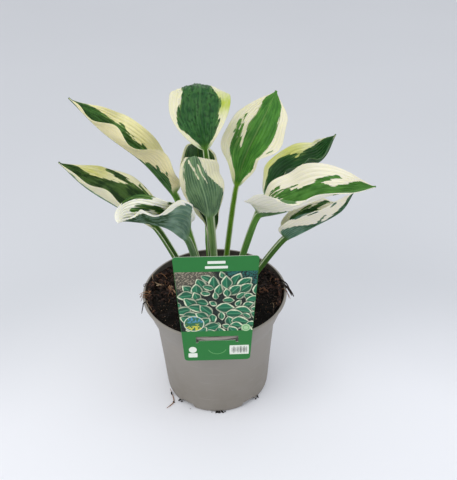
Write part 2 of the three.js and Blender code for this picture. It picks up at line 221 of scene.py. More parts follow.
backward = np.array([0, -math.cos(CAMERA_ELEVATION), math.sin(CAMERA_ELEVATION)])
eye = np.array([0, 0, AIM_HEIGHT]) + CAMERA_DISTANCE * backward
ahead, right = -backward, np.array([1.0, 0, 0])
upward = np.cross(right, ahead)
below_middle, beside_middle = AIM_PIXEL[1] - IMAGE_HEIGHT / 2, AIM_PIXEL[0] - IMAGE_WIDTH / 2
ahead, upward = turned(ahead, upward, math.atan2(below_middle, FOCAL_PIXELS))
right, ahead = turned(right, ahead, math.atan2(beside_middle, math.hypot(FOCAL_PIXELS, below_middle)))
right, upward = turned(right, upward, CAMERA_ROLL)

camera = bpy.data.objects.new("camera", bpy.data.cameras.new("camera"))
camera.data.sensor_width = SENSOR_WIDTH
camera.data.lens = SENSOR_WIDTH * FOCAL_PIXELS / IMAGE_HEIGHT
turn = np.eye(4)
turn[:3, 0], turn[:3, 1], turn[:3, 2], turn[:3, 3] = right, upward, -ahead, eye
camera.matrix_world = Matrix(turn.tolist())
bpy.context.scene.collection.objects.link(camera)
bpy.context.scene.camera = camera
print("camera at", np.round(eye, 3), "lens", round(camera.data.lens, 1), "mm")

# %% [markdown]
# ## Floor
# The pot stands on a plain white table, and the room behind it is a shade greyer. Two sheets could meet at an
# edge behind the pot, but the edge would show from other sides. One large sheet does for both: a painted pool
# of light makes it white near the pot, it fades slowly to the pale grey of the room further off, and it
# wavers a little in clouds half a metre wide.

# %% Floor
# The middle and reach of a painted pool of light on the floor, and where the room's grey begins.
LIGHT_POOL_MIDDLE = (0.02, -0.42, 0)
LIGHT_POOL_ENDS, GREY_BEGINS = 0.42, 0.7
FLOOR_REACH = 9
floor_finish, tree, shader = new_finish("white_laminate", Roughness=0.62)
place = add(tree, "TexCoord").outputs["Object"]
# Painted pool of light: white near its middle, fading to pale grey further off.
away = add(tree, "VectorMath", {0: place, 1: LIGHT_POOL_MIDDLE}, operation="DISTANCE").outputs["Value"]
further = add(tree, "MapRange", {"Value": away, "From Min": LIGHT_POOL_ENDS, "From Max": GREY_BEGINS},
              interpolation_type="SMOOTHSTEP").outputs[0]
cloud = add(tree, "TexNoise", {"Vector": place, "Scale": cells_of(455), "Detail": 2}).outputs[0]
shade = add(tree, "Mix", {0: further, 6: linear("#eceef4"), 7: linear("#d3d6dc")},
            data_type="RGBA").outputs[2]
soft = add(tree, "MapRange", {"Value": cloud, "To Min": 0.97, "To Max": 1.02}).outputs[0]
tone = add(tree, "VectorMath", {0: shade, "Scale": soft}, operation="SCALE").outputs[0]
tree.links.new(tone, shader.inputs["Base Color"])

floor_mesh = bpy.data.meshes.new("floor")
floor_corners = [(FLOOR_REACH * x, FLOOR_REACH * y, 0) for x, y in ((-1, -1), (1, -1), (1, 1), (-1, 1))]
floor_mesh.from_pydata(floor_corners, [], [(0, 1, 2, 3)])
floor_mesh.materials.append(floor_finish)
floor = bpy.data.objects.new("floor", floor_mesh)
bpy.context.scene.collection.objects.link(floor)
floor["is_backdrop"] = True
print("floor", 2 * FLOOR_REACH, "m wide")

# %% [markdown]
# ## Light
# The light in the picture is soft and comes mostly from above and a little from the left,
# so nearly no shadow has an edge. A pale sky gives most of it, and three wide lamps give
# the leaves their faint sheen. The plain view transform shows a shader's colour as a phone
# camera would, without film's soft whites.

# %% Light
sky = bpy.data.worlds.new("pale_room")
sky.use_nodes = True
background = sky.node_tree.nodes["Background"]
background.inputs["Color"].default_value = linear("#f2f3f5")
background.inputs["Strength"].default_value = 0.9
bpy.context.scene.world = sky
bpy.context.scene.view_settings.view_transform = "Standard"


def add_lamp(name, position, target, size, watts, colour):
    """A square lamp of that size in metres, turned to face its target."""
    lamp = bpy.data.lights.new(name, "AREA")
    lamp.shape, lamp.size, lamp.energy, lamp.color = "SQUARE", size, watts, linear(colour)[:3]
    holder = bpy.data.objects.new(name, lamp)
    back = unit(np.array(position, float) - np.array(target, float))
    side = unit(np.cross([0, 0, 1.0], back))
    place = np.eye(4)
    place[:3, 0], place[:3, 1], place[:3, 2], place[:3, 3] = side, np.cross(back, side), back, position
    holder.matrix_world = Matrix(place.tolist())
    bpy.context.scene.collection.objects.link(holder)
    print(name, watts, "W")


add_lamp("lamp_above_left", (-0.9, -0.7, 1.7), (0, 0, 0.2), 1.1, 10, "#fffdf8")
add_lamp("lamp_above_right", (1.2, -0.3, 1.5), (0, 0, 0.2), 1.2, 4, "#f6f9ff")
add_lamp("lamp_front", (0.1, -1.8, 0.9), (0, 0, 0.15), 1.3, 2, "#ffffff")

# %% [markdown]
# ## The pot
# A thin-walled nursery pot is moulded in polypropylene: a tapered body, a wider collar that
# stacks into the next pot, a small rolled bead at the rim with a groove under it, and a foot
# ring with five drainage notches. Such a form is a lathe profile: a list of radii and
# heights that goes from the middle of the underside, up the outside, over the rim and down
# the inside. Spinning it with numpy keeps each corner's own rounding and lets the notches
# be lifted out of the foot afterwards.

# %% Lathe helpers
def rounded(corners, steps=4):
    """A line of corners (x, y, radius) with each corner cut back along both its edges, by its
    radius or 0.45 of the edge, and replaced by a curve: (1 - t)^2 a + 2 t (1 - t) corner +
    t^2 b."""
    points = []
    for before, corner, after in zip([corners[0], *corners], corners, [*corners[1:], corners[-1]]):
        here = np.array(corner[:2], float)
        legs = [np.array(p[:2], float) - here for p in (before, after)]
        sizes = [np.linalg.norm(leg) for leg in legs]
        if corner[2] == 0 or min(sizes) == 0:
            points.append(here)
            continue
        a, b = (here + leg / size * min(corner[2], 0.45 * size) for leg, size in zip(legs, sizes))
        t = np.linspace(0, 1, steps + 1)[:, None]
        points += [*((1 - t) ** 2 * a + 2 * t * (1 - t) * here + t * t * b)]
    return np.array(points)


def fan(middle, ring):
    """Triangles that join a middle point to each pair of neighbours in a ring of points. They
    face the side from which the ring runs clockwise."""
    return np.stack([np.full(len(ring), middle), np.roll(ring, -1), ring], -1)


def spun(profile, sides):
    """Each profile point (r, z) turned round the axis: (r cos a, r sin a, z). Its first and
    last points, on the axis, close it with fans. Returns points, faces and angles."""
    angle = np.arange(sides) * 2 * math.pi / sides
    ring = profile[1:-1]
    x, y = ring[:, :1] * np.cos(angle), ring[:, :1] * np.sin(angle)
    z = np.repeat(ring[:, 1:], sides, axis=1)
    ends = [[0, 0, profile[0, 1]], [0, 0, profile[-1, 1]]]
    points = np.vstack([np.stack([x, y, z], -1).reshape(-1, 3), ends])
    count = len(ring)
    first = fan(count * sides, np.arange(sides))
    last = fan(count * sides + 1, (count - 1) * sides + np.arange(sides)[::-1])
    return points, [*grid_faces(count, sides, closed=True), *first, *last], np.tile(angle, count)


square = rounded([(0, 0, 0), (4, 0, 1), (4, 4, 0)])
print("a rounded corner of 1 mm has", len(square) - 2, "points")

# %% The pot's measures, in millimetres
RIM_RADIUS, POT_HEIGHT, LIP_FOOT, LIP_OVERHANG = 85, 140, 136.8, 1.3
COLLAR_FOOT_RADIUS, COLLAR_FOOT_HEIGHT = 74.8, 111.5
BODY_TOP_RADIUS, FOOT_RADIUS = 70.8, 64
WALL, FLOOR_UNDERSIDE, FLOOR_TOP = 1.6, 4.4, 6.0
FLARE_TOP = 134.8
NOTCHES, FIRST_NOTCH = 5, math.radians(-55)
NOTCH_WIDTH_LOW, NOTCH_WIDTH_HIGH, NOTCH_HEIGHT = 23, 15, 7.2
NOTCH_INSIDE = 53
POT_SIDES = 360


def collar_radius(height):
    """The collar's outside: a straight flare from its foot to just under the rim's bead."""
    share = (height - COLLAR_FOOT_HEIGHT) / (LIP_FOOT - COLLAR_FOOT_HEIGHT)
    return COLLAR_FOOT_RADIUS + (RIM_RADIUS - LIP_OVERHANG - COLLAR_FOOT_RADIUS) * share


print("collar at its foot and top:", collar_radius(COLLAR_FOOT_HEIGHT),
      round(collar_radius(LIP_FOOT), 1), "mm")

# %% The pot's profile, spun
profile = rounded([
    (0, 0, 0), (13.6, 0, 0.8), (14, FLOOR_UNDERSIDE, 1), (56, FLOOR_UNDERSIDE, 1), (56.3, 0, 0.8),
    (61.4, 0, 1.4), (63.4, 2, 2), (FOOT_RADIUS, 6, 3), (67.4, 57, 0), (BODY_TOP_RADIUS, 101.5, 6),
    (COLLAR_FOOT_RADIUS - 0.1, 111.2, 6), (78.8, 123, 0), (83.3, 135.9, 0.5), (83.4, 136.7, 0.3),
    (84.9, 137.1, 0.7), (RIM_RADIUS, 139.1, 1), (84, POT_HEIGHT, 0.8), (82.1, POT_HEIGHT, 0.7),
    (81.6, 138.2, 0.8), (81.4, FLARE_TOP, 1), (73.1, 111.3, 3), (69.1, 102.2, 3), (61.9, 9.7, 2),
    (58.9, FLOOR_TOP, 2), (0, FLOOR_TOP, 0),
])
points, faces, angle = spun(profile, POT_SIDES)
print("profile points", len(profile), "faces", len(faces))

# %% Drainage notches, and soil and painted shade on the inside
# A notch lifts the foot's underside: the lift is full within the narrow width and falls to
# nothing at the wide one, and never comes nearer than 1 mm to the inside.
radius, height = np.hypot(points[:-2, 0], points[:-2, 1]), points[:-2, 2]
between = 2 * math.pi / NOTCHES
from_notch = np.abs((angle - FIRST_NOTCH + between / 2) % between - between / 2) * radius
lift = NOTCH_HEIGHT * smoothstep(NOTCH_WIDTH_LOW / 2, NOTCH_WIDTH_HIGH / 2, from_notch)
ceiling = np.interp(radius, [NOTCH_INSIDE, 57.5, 60, 61.4], [4.6, 5, 6.2, NOTCH_HEIGHT])
outer = (np.arange(len(radius)) // POT_SIDES) < len(profile) // 2
lifted = np.maximum(height, np.minimum(lift, ceiling))
points[:-2, 2] = np.where(outer & (radius > NOTCH_INSIDE), lifted, height)
print("points lifted for the notches:", int((outer & (lift > 0.1)).sum()))

# Soil has rubbed off on the inside of the wall above the medium, and painted shade darkens the same band,
# where the wall is in shade.
soiled_and_shaded = np.append(~outer & (radius < RIM_RADIUS - 2.6) & (radius > 70), [False, False])

# %% [markdown]
# ### Pot finish: injection-moulded polypropylene, matt
# The mould was sand-blasted, so the plastic has a fine even grain and a broad, weak gloss.
# To the eye it is a warm taupe that is a little dusty, with a few faint rub marks that run round the body
# where pots were stacked. Low down it is painted darker and browner in patches, which is painted shade
# towards the foot, so that it looks slightly lighter above. Grain is about 0.4 mm here, coarser than the real
# 0.1 mm, so that it still shows.

# %% The pot's finish and piece
pot_finish, tree, shader = new_finish("moulded_polypropylene_taupe", IOR=1.49, Specular_IOR_Level=0.35)
place = add(tree, "TexCoord").outputs["Object"]
split = add(tree, "SeparateXYZ", {0: place})
dust = add(tree, "TexNoise", {"Vector": place, "Scale": cells_of(26.3), "Detail": 5,
                              "Roughness": 0.6}).outputs[0]
flat_cells = (cells_of(28.4), cells_of(28.4), cells_of(1.488))
round_body = add(tree, "Mapping", {"Vector": place, "Scale": flat_cells}).outputs[0]
rubs = add(tree, "TexNoise", {"Vector": round_body, "Scale": 1, "Detail": 3}).outputs[0]
# Painted shade: darker, browner patches low down towards the foot, patchy with the dust.
low_down = add(tree, "MapRange", {"Value": split.outputs["Z"], "From Min": 0.0, "From Max": 0.11,
                                  "To Min": 0.8, "To Max": 0.0}, interpolation_type="SMOOTHSTEP").outputs[0]
low_shade = add(tree, "Math", {0: low_down, 1: dust}, operation="MULTIPLY").outputs[0]
body = add(tree, "Mix", {0: dust, 6: linear("#8b8680"), 7: linear("#96918a")}, data_type="RGBA").outputs[2]
body = add(tree, "Mix", {0: low_shade, 6: body, 7: linear("#6d665a")}, data_type="RGBA").outputs[2]
rub_mask = add(tree, "MapRange", {"Value": rubs, "From Min": 0.62, "From Max": 0.72,
                                  "To Max": 0.22}).outputs[0]
body = add(tree, "Mix", {0: rub_mask, 6: body, 7: linear("#aaa6a0")}, data_type="RGBA").outputs[2]
smears = add(tree, "MapRange", {"Value": dust, "From Min": 0.3, "From Max": 0.6,
                                "To Min": 0.7}).outputs[0]
# Soil and painted shade on the inner wall, above the medium.
inside = add(tree, "Attribute", attribute_name="soiled_and_shaded").outputs["Fac"]
soil_and_shade_mask = add(tree, "Math", {0: inside, 1: smears}, operation="MULTIPLY").outputs[0]
body = add(tree, "Mix", {0: soil_and_shade_mask, 6: body, 7: linear("#37302a")}, data_type="RGBA").outputs[2]
tree.links.new(body, shader.inputs["Base Color"])
gloss = add(tree, "MapRange", {"Value": dust, "To Min": 0.46, "To Max": 0.64}).outputs[0]
tree.links.new(gloss, shader.inputs["Roughness"])
grain = add(tree, "TexNoise", {"Vector": place, "Scale": cells_of(0.4), "Detail": 2}).outputs[0]
waves = add(tree, "TexNoise", {"Vector": place, "Scale": cells_of(16.67), "Detail": 1}).outputs[0]
rough_bump = add(tree, "Bump", {"Height": grain, "Strength": 0.25, "Distance": 0.0002})
soft_bump = add(tree, "Bump", {"Height": waves, "Strength": 0.25, "Distance": 0.0008,
                               "Normal": rough_bump.outputs[0]})
tree.links.new(soft_bump.outputs[0], shader.inputs["Normal"])

pot = make_piece("pot_shell", points, faces, pot_finish, knows={"soiled_and_shaded": soiled_and_shaded})
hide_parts("pot")

# %% [markdown]
# ## The growing medium
# Peat with composted bark and coir fibre fills the pot to about a centimetre below the rim
# in front, and is heaped against both sides and the back. Seen close, it is lumps of every
# size. A height field on a polar grid gives the lumps, by adding soft random hills of four
# sizes; its outer ring follows the sloping wall. Loose bark and fibres then lie on it as
# separate pieces, because they stand clear of the surface and catch the light. Most of the
# coarse bark has gathered at the sides and the back; the front is fine, black peat.

# %% The medium's height field
MEDIUM_LEVEL, CROWN_MOUND, SIDE_HEAP, BACK_HEAP, MEDIUM_BUMP = 128, 3.5, 6, 4, 1.3
MEDIUM_FOOT, WALL_GAP = 118.0, 0.15
MEDIUM_SIDES, MEDIUM_RINGS = 340, 118
HILL_WIDTHS, HILL_SHARE = (9, 4.5, 2.2, 1.1), 0.34


def medium_height(x, y):
    """Level, plus a mound 3.5 exp(-(r / 34)^2), plus a heap (6 x^2 + 4 y^2) / r^2 at the sides and
    the back that grows as (r / 74)^4, plus a slow wave, plus random hills of four widths, each
    about a third as high as it is wide."""
    r = np.hypot(x, y)
    heap = (SIDE_HEAP * x ** 2 + BACK_HEAP * np.maximum(y, 0) ** 2) / np.maximum(r, 1) ** 2
    slow = MEDIUM_LEVEL + CROWN_MOUND * np.exp(-((r / 34) ** 2)) + heap * np.minimum(1, (r / 74) ** 4)
    slow = slow + MEDIUM_BUMP * (np.sin(0.31 * x + 0.11 * y) + np.cos(0.27 * y - 0.17 * x)) / 2
    hills = sum(size * HILL_SHARE * (bumps(x / size + 40 + k, y / size + 40, k) - 0.5)
                for k, size in enumerate(HILL_WIDTHS))
    return slow + hills


def wall_inside(height):
    """The wall's inner radius, less a hair, at a height on the collar."""
    return collar_radius(np.minimum(height, FLARE_TOP)) - WALL - WALL_GAP


print("heap at the left wall:", round(float(medium_height(np.array(-78.0), np.array(0.0))), 1), "mm up")

# %% The medium's points and faces
ring_angle = np.arange(MEDIUM_SIDES) * 2 * math.pi / MEDIUM_SIDES
cosine, sine = np.cos(ring_angle), np.sin(ring_angle)
# The surface meets the wall where their heights agree, which three tries find.
edge = np.full(MEDIUM_SIDES, 79.0)
for _ in range(3):
    edge = wall_inside(medium_height(edge * cosine, edge * sine))
share = (np.linspace(0, 1, MEDIUM_RINGS)[1:] ** 0.85)[:, None]
x, y = share * edge * cosine, share * edge * sine
top = np.stack([x, y, medium_height(x, y)], -1)
skirt_radius = wall_inside(MEDIUM_FOOT)
skirt = np.stack([skirt_radius * cosine, skirt_radius * sine, np.full(MEDIUM_SIDES, MEDIUM_FOOT)], -1)[None]
rings = np.concatenate([top, skirt])
rows = len(rings)
middle = np.array([[0, 0, float(medium_height(np.array(0.0), np.array(0.0)))], [0, 0, MEDIUM_FOOT]])
points = np.vstack([rings.reshape(-1, 3), middle])
upper = fan(rows * MEDIUM_SIDES, np.arange(MEDIUM_SIDES)[::-1])
lower = fan(rows * MEDIUM_SIDES + 1, (rows - 1) * MEDIUM_SIDES + np.arange(MEDIUM_SIDES))
faces = [*grid_faces(rows, MEDIUM_SIDES, closed=True)[:, ::-1], *upper, *lower]
print("surface from", round(float(top[..., 2].min()), 1), "to", round(float(top[..., 2].max()), 1), "mm")

# %% [markdown]
# ### Medium finish: damp peat
# Peat is nearly black where it is damp and dark brown where it has dried, and has almost no gloss. The grain
# runs from 6 mm clods to crumbs of half a millimetre. Patches 3 cm wide are darker, most of all towards the
# front.

# %% The finish of peat
peat_finish, tree, shader = new_finish("damp_peat", Roughness=0.95, IOR=1.45, Specular_IOR_Level=0.2)
place = add(tree, "TexCoord").outputs["Object"]
clods = add(tree, "TexNoise", {"Vector": place, "Scale": cells_of(5.883), "Detail": 6,
                               "Roughness": 0.7}).outputs[0]
patches = add(tree, "TexNoise", {"Vector": place, "Scale": cells_of(29.4), "Detail": 2}).outputs[0]
dry_mask = add(tree, "MapRange", {"Value": clods, "From Min": 0.45, "From Max": 0.7}).outputs[0]
peat = add(tree, "Mix", {0: dry_mask, 6: linear("#0a0705"), 7: linear("#261811")},
           data_type="RGBA").outputs[2]
# Darker patches 3 cm wide, strongest towards the front.
across = add(tree, "SeparateXYZ", {0: place}).outputs["Y"]
front = add(tree, "MapRange", {"Value": across, "From Min": 0.012, "From Max": -0.02}).outputs[0]
darker_patches = add(tree, "MapRange", {"Value": patches, "From Min": 0.3, "From Max": 0.62, "To Min": 0.5}).outputs[0]
darker_patches = add(tree, "Math", {0: darker_patches, 1: front}, operation="MULTIPLY").outputs[0]
peat = add(tree, "Mix", {0: darker_patches, 6: peat, 7: linear("#0a0907")}, data_type="RGBA").outputs[2]
tree.links.new(peat, shader.inputs["Base Color"])
peat_bump = add(tree, "Bump", {"Height": clods, "Strength": 1.0, "Distance": 0.0016})
tree.links.new(peat_bump.outputs[0], shader.inputs["Normal"])

medium = make_piece("medium_surface", points, faces, peat_finish)
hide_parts("growing_medium")

# %% [markdown]
# ### Medium finish: bark and coir
# Bark is dull and dark, and coir, the husk of coconuts, dries from black brown to red brown
# and straw. Both share one finish whose colour comes from a tone that each flake or fibre
# carries, 0 to 1, read off a row of five browns. Husk-like marks 1.7 mm long break it up.

# %% The finish of bark and coir
BROWNS = {0.35: "#261610", 0.6: "#563629", 0.8: "#946846"}
fibre_finish, tree, shader = new_finish("dry_bark_and_coir", Roughness=0.8, IOR=1.45)
tone = add(tree, "Attribute", attribute_name="tone").outputs["Fac"]
brown = add(tree, "ValToRGB", {"Fac": tone})
stops = brown.color_ramp.elements
stops[0].color, stops[1].color = linear("#0b0705"), linear("#cbb99e")
for stop, code in BROWNS.items():
    stops.new(stop).color = linear(code)
place = add(tree, "TexCoord").outputs["Object"]
husk = add(tree, "TexNoise", {"Vector": place, "Scale": cells_of(1.6667), "Detail": 2}).outputs[0]
shade = add(tree, "MapRange", {"Value": husk, "To Min": 0.65, "To Max": 1.25}).outputs[0]
colour = add(tree, "VectorMath", {0: brown.outputs[0], "Scale": shade}, operation="SCALE").outputs[0]
tree.links.new(colour, shader.inputs["Base Color"])
husk_bump = add(tree, "Bump", {"Height": husk, "Strength": 0.5, "Distance": 0.0003})
tree.links.new(husk_bump.outputs[0], shader.inputs["Normal"])
print("browns from", stops[0].position, "to", stops[-1].position, "in", len(stops), "steps")

# %% [markdown]
# ### Loose bark, litter and crumbs
# Composted bark is small rough flakes. Each is a box of eight jittered points, because
# hundreds of them need few faces each. They are strewn by chance, with more and larger ones
# where the photograph shows coarse bark, and banked against the wall at both sides.

# %% Helpers for bark
MEDIUM_REACH = 78.0


def scattered(count, chance):
    """Places on the medium. Far more of them lie where the bark is coarse: at the sides, most
    at the left, and towards the back. Returns x, y and how coarse each place is, 0 to 1."""
    r = MEDIUM_REACH * np.sqrt(chance.uniform(0.02, 1, 6 * count))
    a = chance.uniform(0, 2 * math.pi, 6 * count)
    x, y = r * np.cos(a), r * np.sin(a)
    coarse = smoothstep(-22, 8, y) * (0.35 + 0.65 * smoothstep(25, 55, np.abs(x))) * np.where(x > 0, 0.65, 1)
    kept = np.flatnonzero(chance.random(6 * count) < 0.15 + 0.85 * coarse)[:count]
    return x[kept], y[kept], coarse[kept]


# One piece of bark is a rough lozenge of eight points, thin and longer than wide.
lozenge = np.array([[-1, -0.5, 0], [0.1, -0.8, 0.1], [1, -0.2, 0], [0.8, 0.5, 0.2],
                    [-0.9, 0.4, 1], [-0.1, -0.5, 1.3], [0.9, 0.1, 0.9], [0.1, 0.7, 1.1]])
lozenge_faces = np.array([[0, 3, 2, 1], [4, 5, 6, 7], [0, 1, 5, 4], [1, 2, 6, 5], [2, 3, 7, 6], [3, 0, 4, 7]])


def bark_pieces(x, y, base, long, wide, tall, spin, chance):
    """A jittered lozenge at each place, with its half length, half width and height in mm,
    turned by its spin and leaning a little."""
    count = len(x)
    size = np.stack([long, wide, tall], -1)[:, None]
    shape = (lozenge + chance.normal(0, 0.12, (count, 8, 3))) * size
    c, s = np.cos(spin)[:, None], np.sin(spin)[:, None]
    flat_x, flat_y = shape[..., 0] * c - shape[..., 1] * s, shape[..., 0] * s + shape[..., 1] * c
    lean = chance.normal(0, 0.3, (2, count, 1))
    height = shape[..., 2] + flat_x * lean[0] + flat_y * lean[1] + base[:, None]
    points = np.stack([flat_x + x[:, None], flat_y + y[:, None], height], -1).reshape(-1, 3)
    return points, (lozenge_faces[None] + 8 * np.arange(count)[:, None, None]).reshape(-1, 4)


print("a piece of bark has", len(lozenge), "points and", len(lozenge_faces), "faces")

# %% Bark
BARK_PIECES = 1300
chance = np.random.default_rng(11)
x, y, coarse = scattered(BARK_PIECES, chance)
size = chance.uniform(0.35, 1.0, len(x)) * (1 + 0.9 * coarse)
points, faces = bark_pieces(x, y, medium_height(x, y) + 0.1, 1.6 * size, 0.9 * size, 0.5 * size,
                            chance.uniform(0, 2 * math.pi, len(x)), chance)
tone = np.repeat(0.04 + chance.beta(1.2, 2.6, len(x)) * (0.25 + 0.55 * coarse), 8)
make_piece("medium_bark", points, faces, fibre_finish, smooth=False, knows={"tone": tone})

# %% Litter
# It is banked against the wall at both sides, in places up to the rim: an angle within two
# sectors, a height above the heap, and as far out as the sloping wall allows there.
LITTER, LEFT_BANK, RIGHT_BANK = 900, 172, 6
left = chance.random(LITTER) < 0.62
bank = np.where(left, LEFT_BANK, RIGHT_BANK)
turn = np.radians(np.where(left, chance.normal(LEFT_BANK, 14, LITTER), chance.normal(RIGHT_BANK, 15, LITTER)))
base = 133.5 + 6.5 * chance.random(LITTER) * np.exp(-(((np.degrees(turn) - bank) / 24) ** 2))
size = chance.uniform(0.5, 1.7, LITTER)
out = collar_radius(np.minimum(base, FLARE_TOP)) - WALL - 1.8 * size - chance.uniform(0, 3.5, LITTER)
points, faces = bark_pieces(out * np.cos(turn), out * np.sin(turn), base, 1.5 * size, 0.8 * size, 0.6 * size,
                            turn + math.pi / 2 + chance.normal(0, 0.7, LITTER), chance)
tone = np.repeat(0.05 + 0.75 * chance.beta(1.3, 2.2, LITTER), 8)
make_piece("medium_litter", points, faces, fibre_finish, smooth=False, knows={"tone": tone})

# %% Crumbs
# Pale crumbs of dry coir and grit, most no wider than half a millimetre.
CRUMBS = 520
r, a = 79 * np.sqrt(chance.uniform(0.02, 1, CRUMBS)), chance.uniform(0, 2 * math.pi, CRUMBS)
x, y = r * np.cos(a), r * np.sin(a)
size = chance.uniform(0.16, 0.42, CRUMBS)
points, faces = bark_pieces(x, y, medium_height(x, y) + 0.25, 1.3 * size, size, size, a, chance)
tone = np.repeat(chance.uniform(0.55, 0.95, CRUMBS), 8)
make_piece("medium_crumbs", points, faces, fibre_finish, smooth=False, knows={"tone": tone})

# %% Chips
# Long dry chips, most of them side by side left of the crown: x, y, spin in degrees, half
# length and tone.
CHIPS = [
    (-53, 19, -70, 6.5, 0.84), (-54, 14, -72, 5.5, 0.8), (-51, 20, -69, 5.0, 0.88), (-51, 7, -78, 4.5, 0.78),
    (-49, 12, -64, 5.0, 0.86), (-72, 27, -80, 5.0, 0.9), (-66, 20, 15, 5.0, 0.93), (57, 4, 25, 4.0, 0.62),
    (73, 37, 120, 3.2, 0.8), (61, 5, -30, 3.4, 0.66),
]
x, y, spin, long, tone = np.array(CHIPS, float).T
points, faces = bark_pieces(x, y, medium_height(x, y) + 0.6, long, np.full(len(x), 1.0), np.full(len(x), 0.8),
                            np.radians(spin), chance)
make_piece("medium_chips", points, faces, fibre_finish, smooth=False,
           knows={"tone": np.repeat(tone, 8)})

# %% [markdown]
# ### Fibres
# Coir fibres are round, curved and a few tenths of a millimetre thick. Hair particles would
# leave no mesh, so each fibre is a path of a few points with a ring of points round each.

# %% Helpers for fibres
def hairs(paths, radius, sides=4):
    """A thin tube round each path: at each point a ring of the given radius that thins to
    both ends as sin(pi w)^0.4, square to the path. Returns points and faces."""
    count, steps, _ = paths.shape
    along = unit(np.gradient(paths, axis=1))
    side = unit(np.cross(along, [0.31, 0.17, 0.93]))
    other = np.cross(along, side)
    thin = np.sin(math.pi * np.linspace(0.04, 0.96, steps)) ** 0.4
    turn = np.arange(sides) * 2 * math.pi / sides
    size = np.asarray(radius).reshape(-1, 1, 1, 1) * thin[None, :, None, None]
    outward = np.cos(turn)[:, None] * side[:, :, None] + np.sin(turn)[:, None] * other[:, :, None]
    ring = paths[:, :, None] + size * outward
    one = grid_faces(steps, sides, closed=True)
    ends = np.array([np.arange(sides)[::-1], (steps - 1) * sides + np.arange(sides)])
    start = steps * sides * np.arange(count)[:, None, None]
    return ring.reshape(-1, 3), [*(one + start).reshape(-1, 4), *(ends + start).reshape(-1, sides)]


def lying_paths(count, low, high, chance, steps=8):
    """Curved threads that lie on the medium: a middle point, a heading and a length, bent
    sideways as an arc and lifted a little in the middle."""
    middle_x, middle_y, _ = scattered(count, chance)
    heading, length = chance.uniform(0, 2 * math.pi, count), chance.uniform(low, high, count)
    w = np.linspace(-0.5, 0.5, steps)
    run, bend = length[:, None] * w, (chance.normal(0, 0.9, count) * length)[:, None] * (w ** 2 - 0.08)
    x = middle_x[:, None] + run * np.cos(heading)[:, None] - bend * np.sin(heading)[:, None]
    y = middle_y[:, None] + run * np.sin(heading)[:, None] + bend * np.cos(heading)[:, None]
    out = np.maximum(np.hypot(x, y) / MEDIUM_REACH, 1)
    x, y = x / out, y / out
    hop = chance.uniform(0, 2.2, count)[:, None] * (1 - (2 * w) ** 2)
    return np.stack([x, y, medium_height(x, y) + 0.35 + hop], -1)


print("a fibre of 8 steps has", len(hairs(np.zeros((1, 8, 3)) + np.arange(8)[:, None], 0.2)[1]), "faces")

# %% Fibres on the medium
SHORT_FIBRES, LONG_FIBRES = 190, 60
chance = np.random.default_rng(5)
paths = np.concatenate([lying_paths(SHORT_FIBRES, 3, 8, chance), lying_paths(LONG_FIBRES, 8, 16, chance)])
points, faces = hairs(paths, chance.uniform(0.12, 0.36, len(paths)))
tone = np.repeat(0.15 + 0.65 * chance.beta(2.0, 2.4, len(paths)), 8 * 4)
make_piece("medium_fibres", points, faces, fibre_finish, knows={"tone": tone})

# %% [markdown]
# ### Strands over the rim
# Coarse coir hangs over the rim in two tufts, straw at the left and nearly black at the right. These are in
# plain sight, so each strand is given one by one: three points in mm, of which the middle one only draws the
# curve towards it, then a radius and a tone.

# %% The strands' places
STRANDS = [
    ((-74, -4, 135), (-81, -5, 145), (-88, -6, 138), 0.50, 0.74),
    ((-76, 3, 136), (-82, 0, 145), (-87, -3, 138), 0.42, 0.80),
    ((-75, -9, 134), (-81, -11, 144), (-87, -11, 136), 0.45, 0.70),
    ((-74, -1, 135), (-80, -2, 146), (-89, -4, 140), 0.36, 0.86),
    ((-73, -6, 134), (-81, -8, 145), (-88, -9, 139), 0.40, 0.66),
    ((-77, 8, 137), (-81, 12, 144), (-85, 10, 139), 0.55, 0.42),
    ((-74, 14, 137), (-81, 16, 143), (-85, 14, 139), 0.60, 0.36),
    ((-78, -17, 136), (-83, -22, 143), (-86, -24, 128), 0.65, 0.14),
    ((-77, -18, 136), (-77, -23, 139), (-72, -28, 133), 0.30, 0.88),
    ((-79, -13, 137), (-80, -19, 140), (-76, -26, 134), 0.26, 0.92),
    ((72, 16, 136), (86, 2, 146), (92, -15, 137), 1.25, 0.16),
    ((74, 12, 136), (85, 0, 145), (90, -12, 136), 0.95, 0.22),
    ((78, 17, 137), (85, 8, 145), (89, -6, 139), 0.85, 0.14),
    ((76, 4, 136), (84, -8, 144), (88, -18, 136), 0.38, 0.66),
    ((77, 0, 136), (85, -8, 143), (87, -14, 133), 0.32, 0.74),
    ((66, -18, 131), (69, -23, 136), (67, -31, 131), 0.26, 0.90),
    ((-75, 33, 136), (-76, 19, 138), (-61, 20, 134), 0.55, 0.90),
    ((-70, 40, 135), (-62, 42, 138), (-58, 33, 133), 0.40, 0.80),
    ((53, 4, 131), (59, 12, 136), (64, 1, 131), 0.75, 0.64),
    ((60, 2, 132), (66, 10, 136), (74, 6, 134), 0.60, 0.50),
]
print(len(STRANDS), "strands, the thickest", 2 * max(strand[3] for strand in STRANDS), "mm")

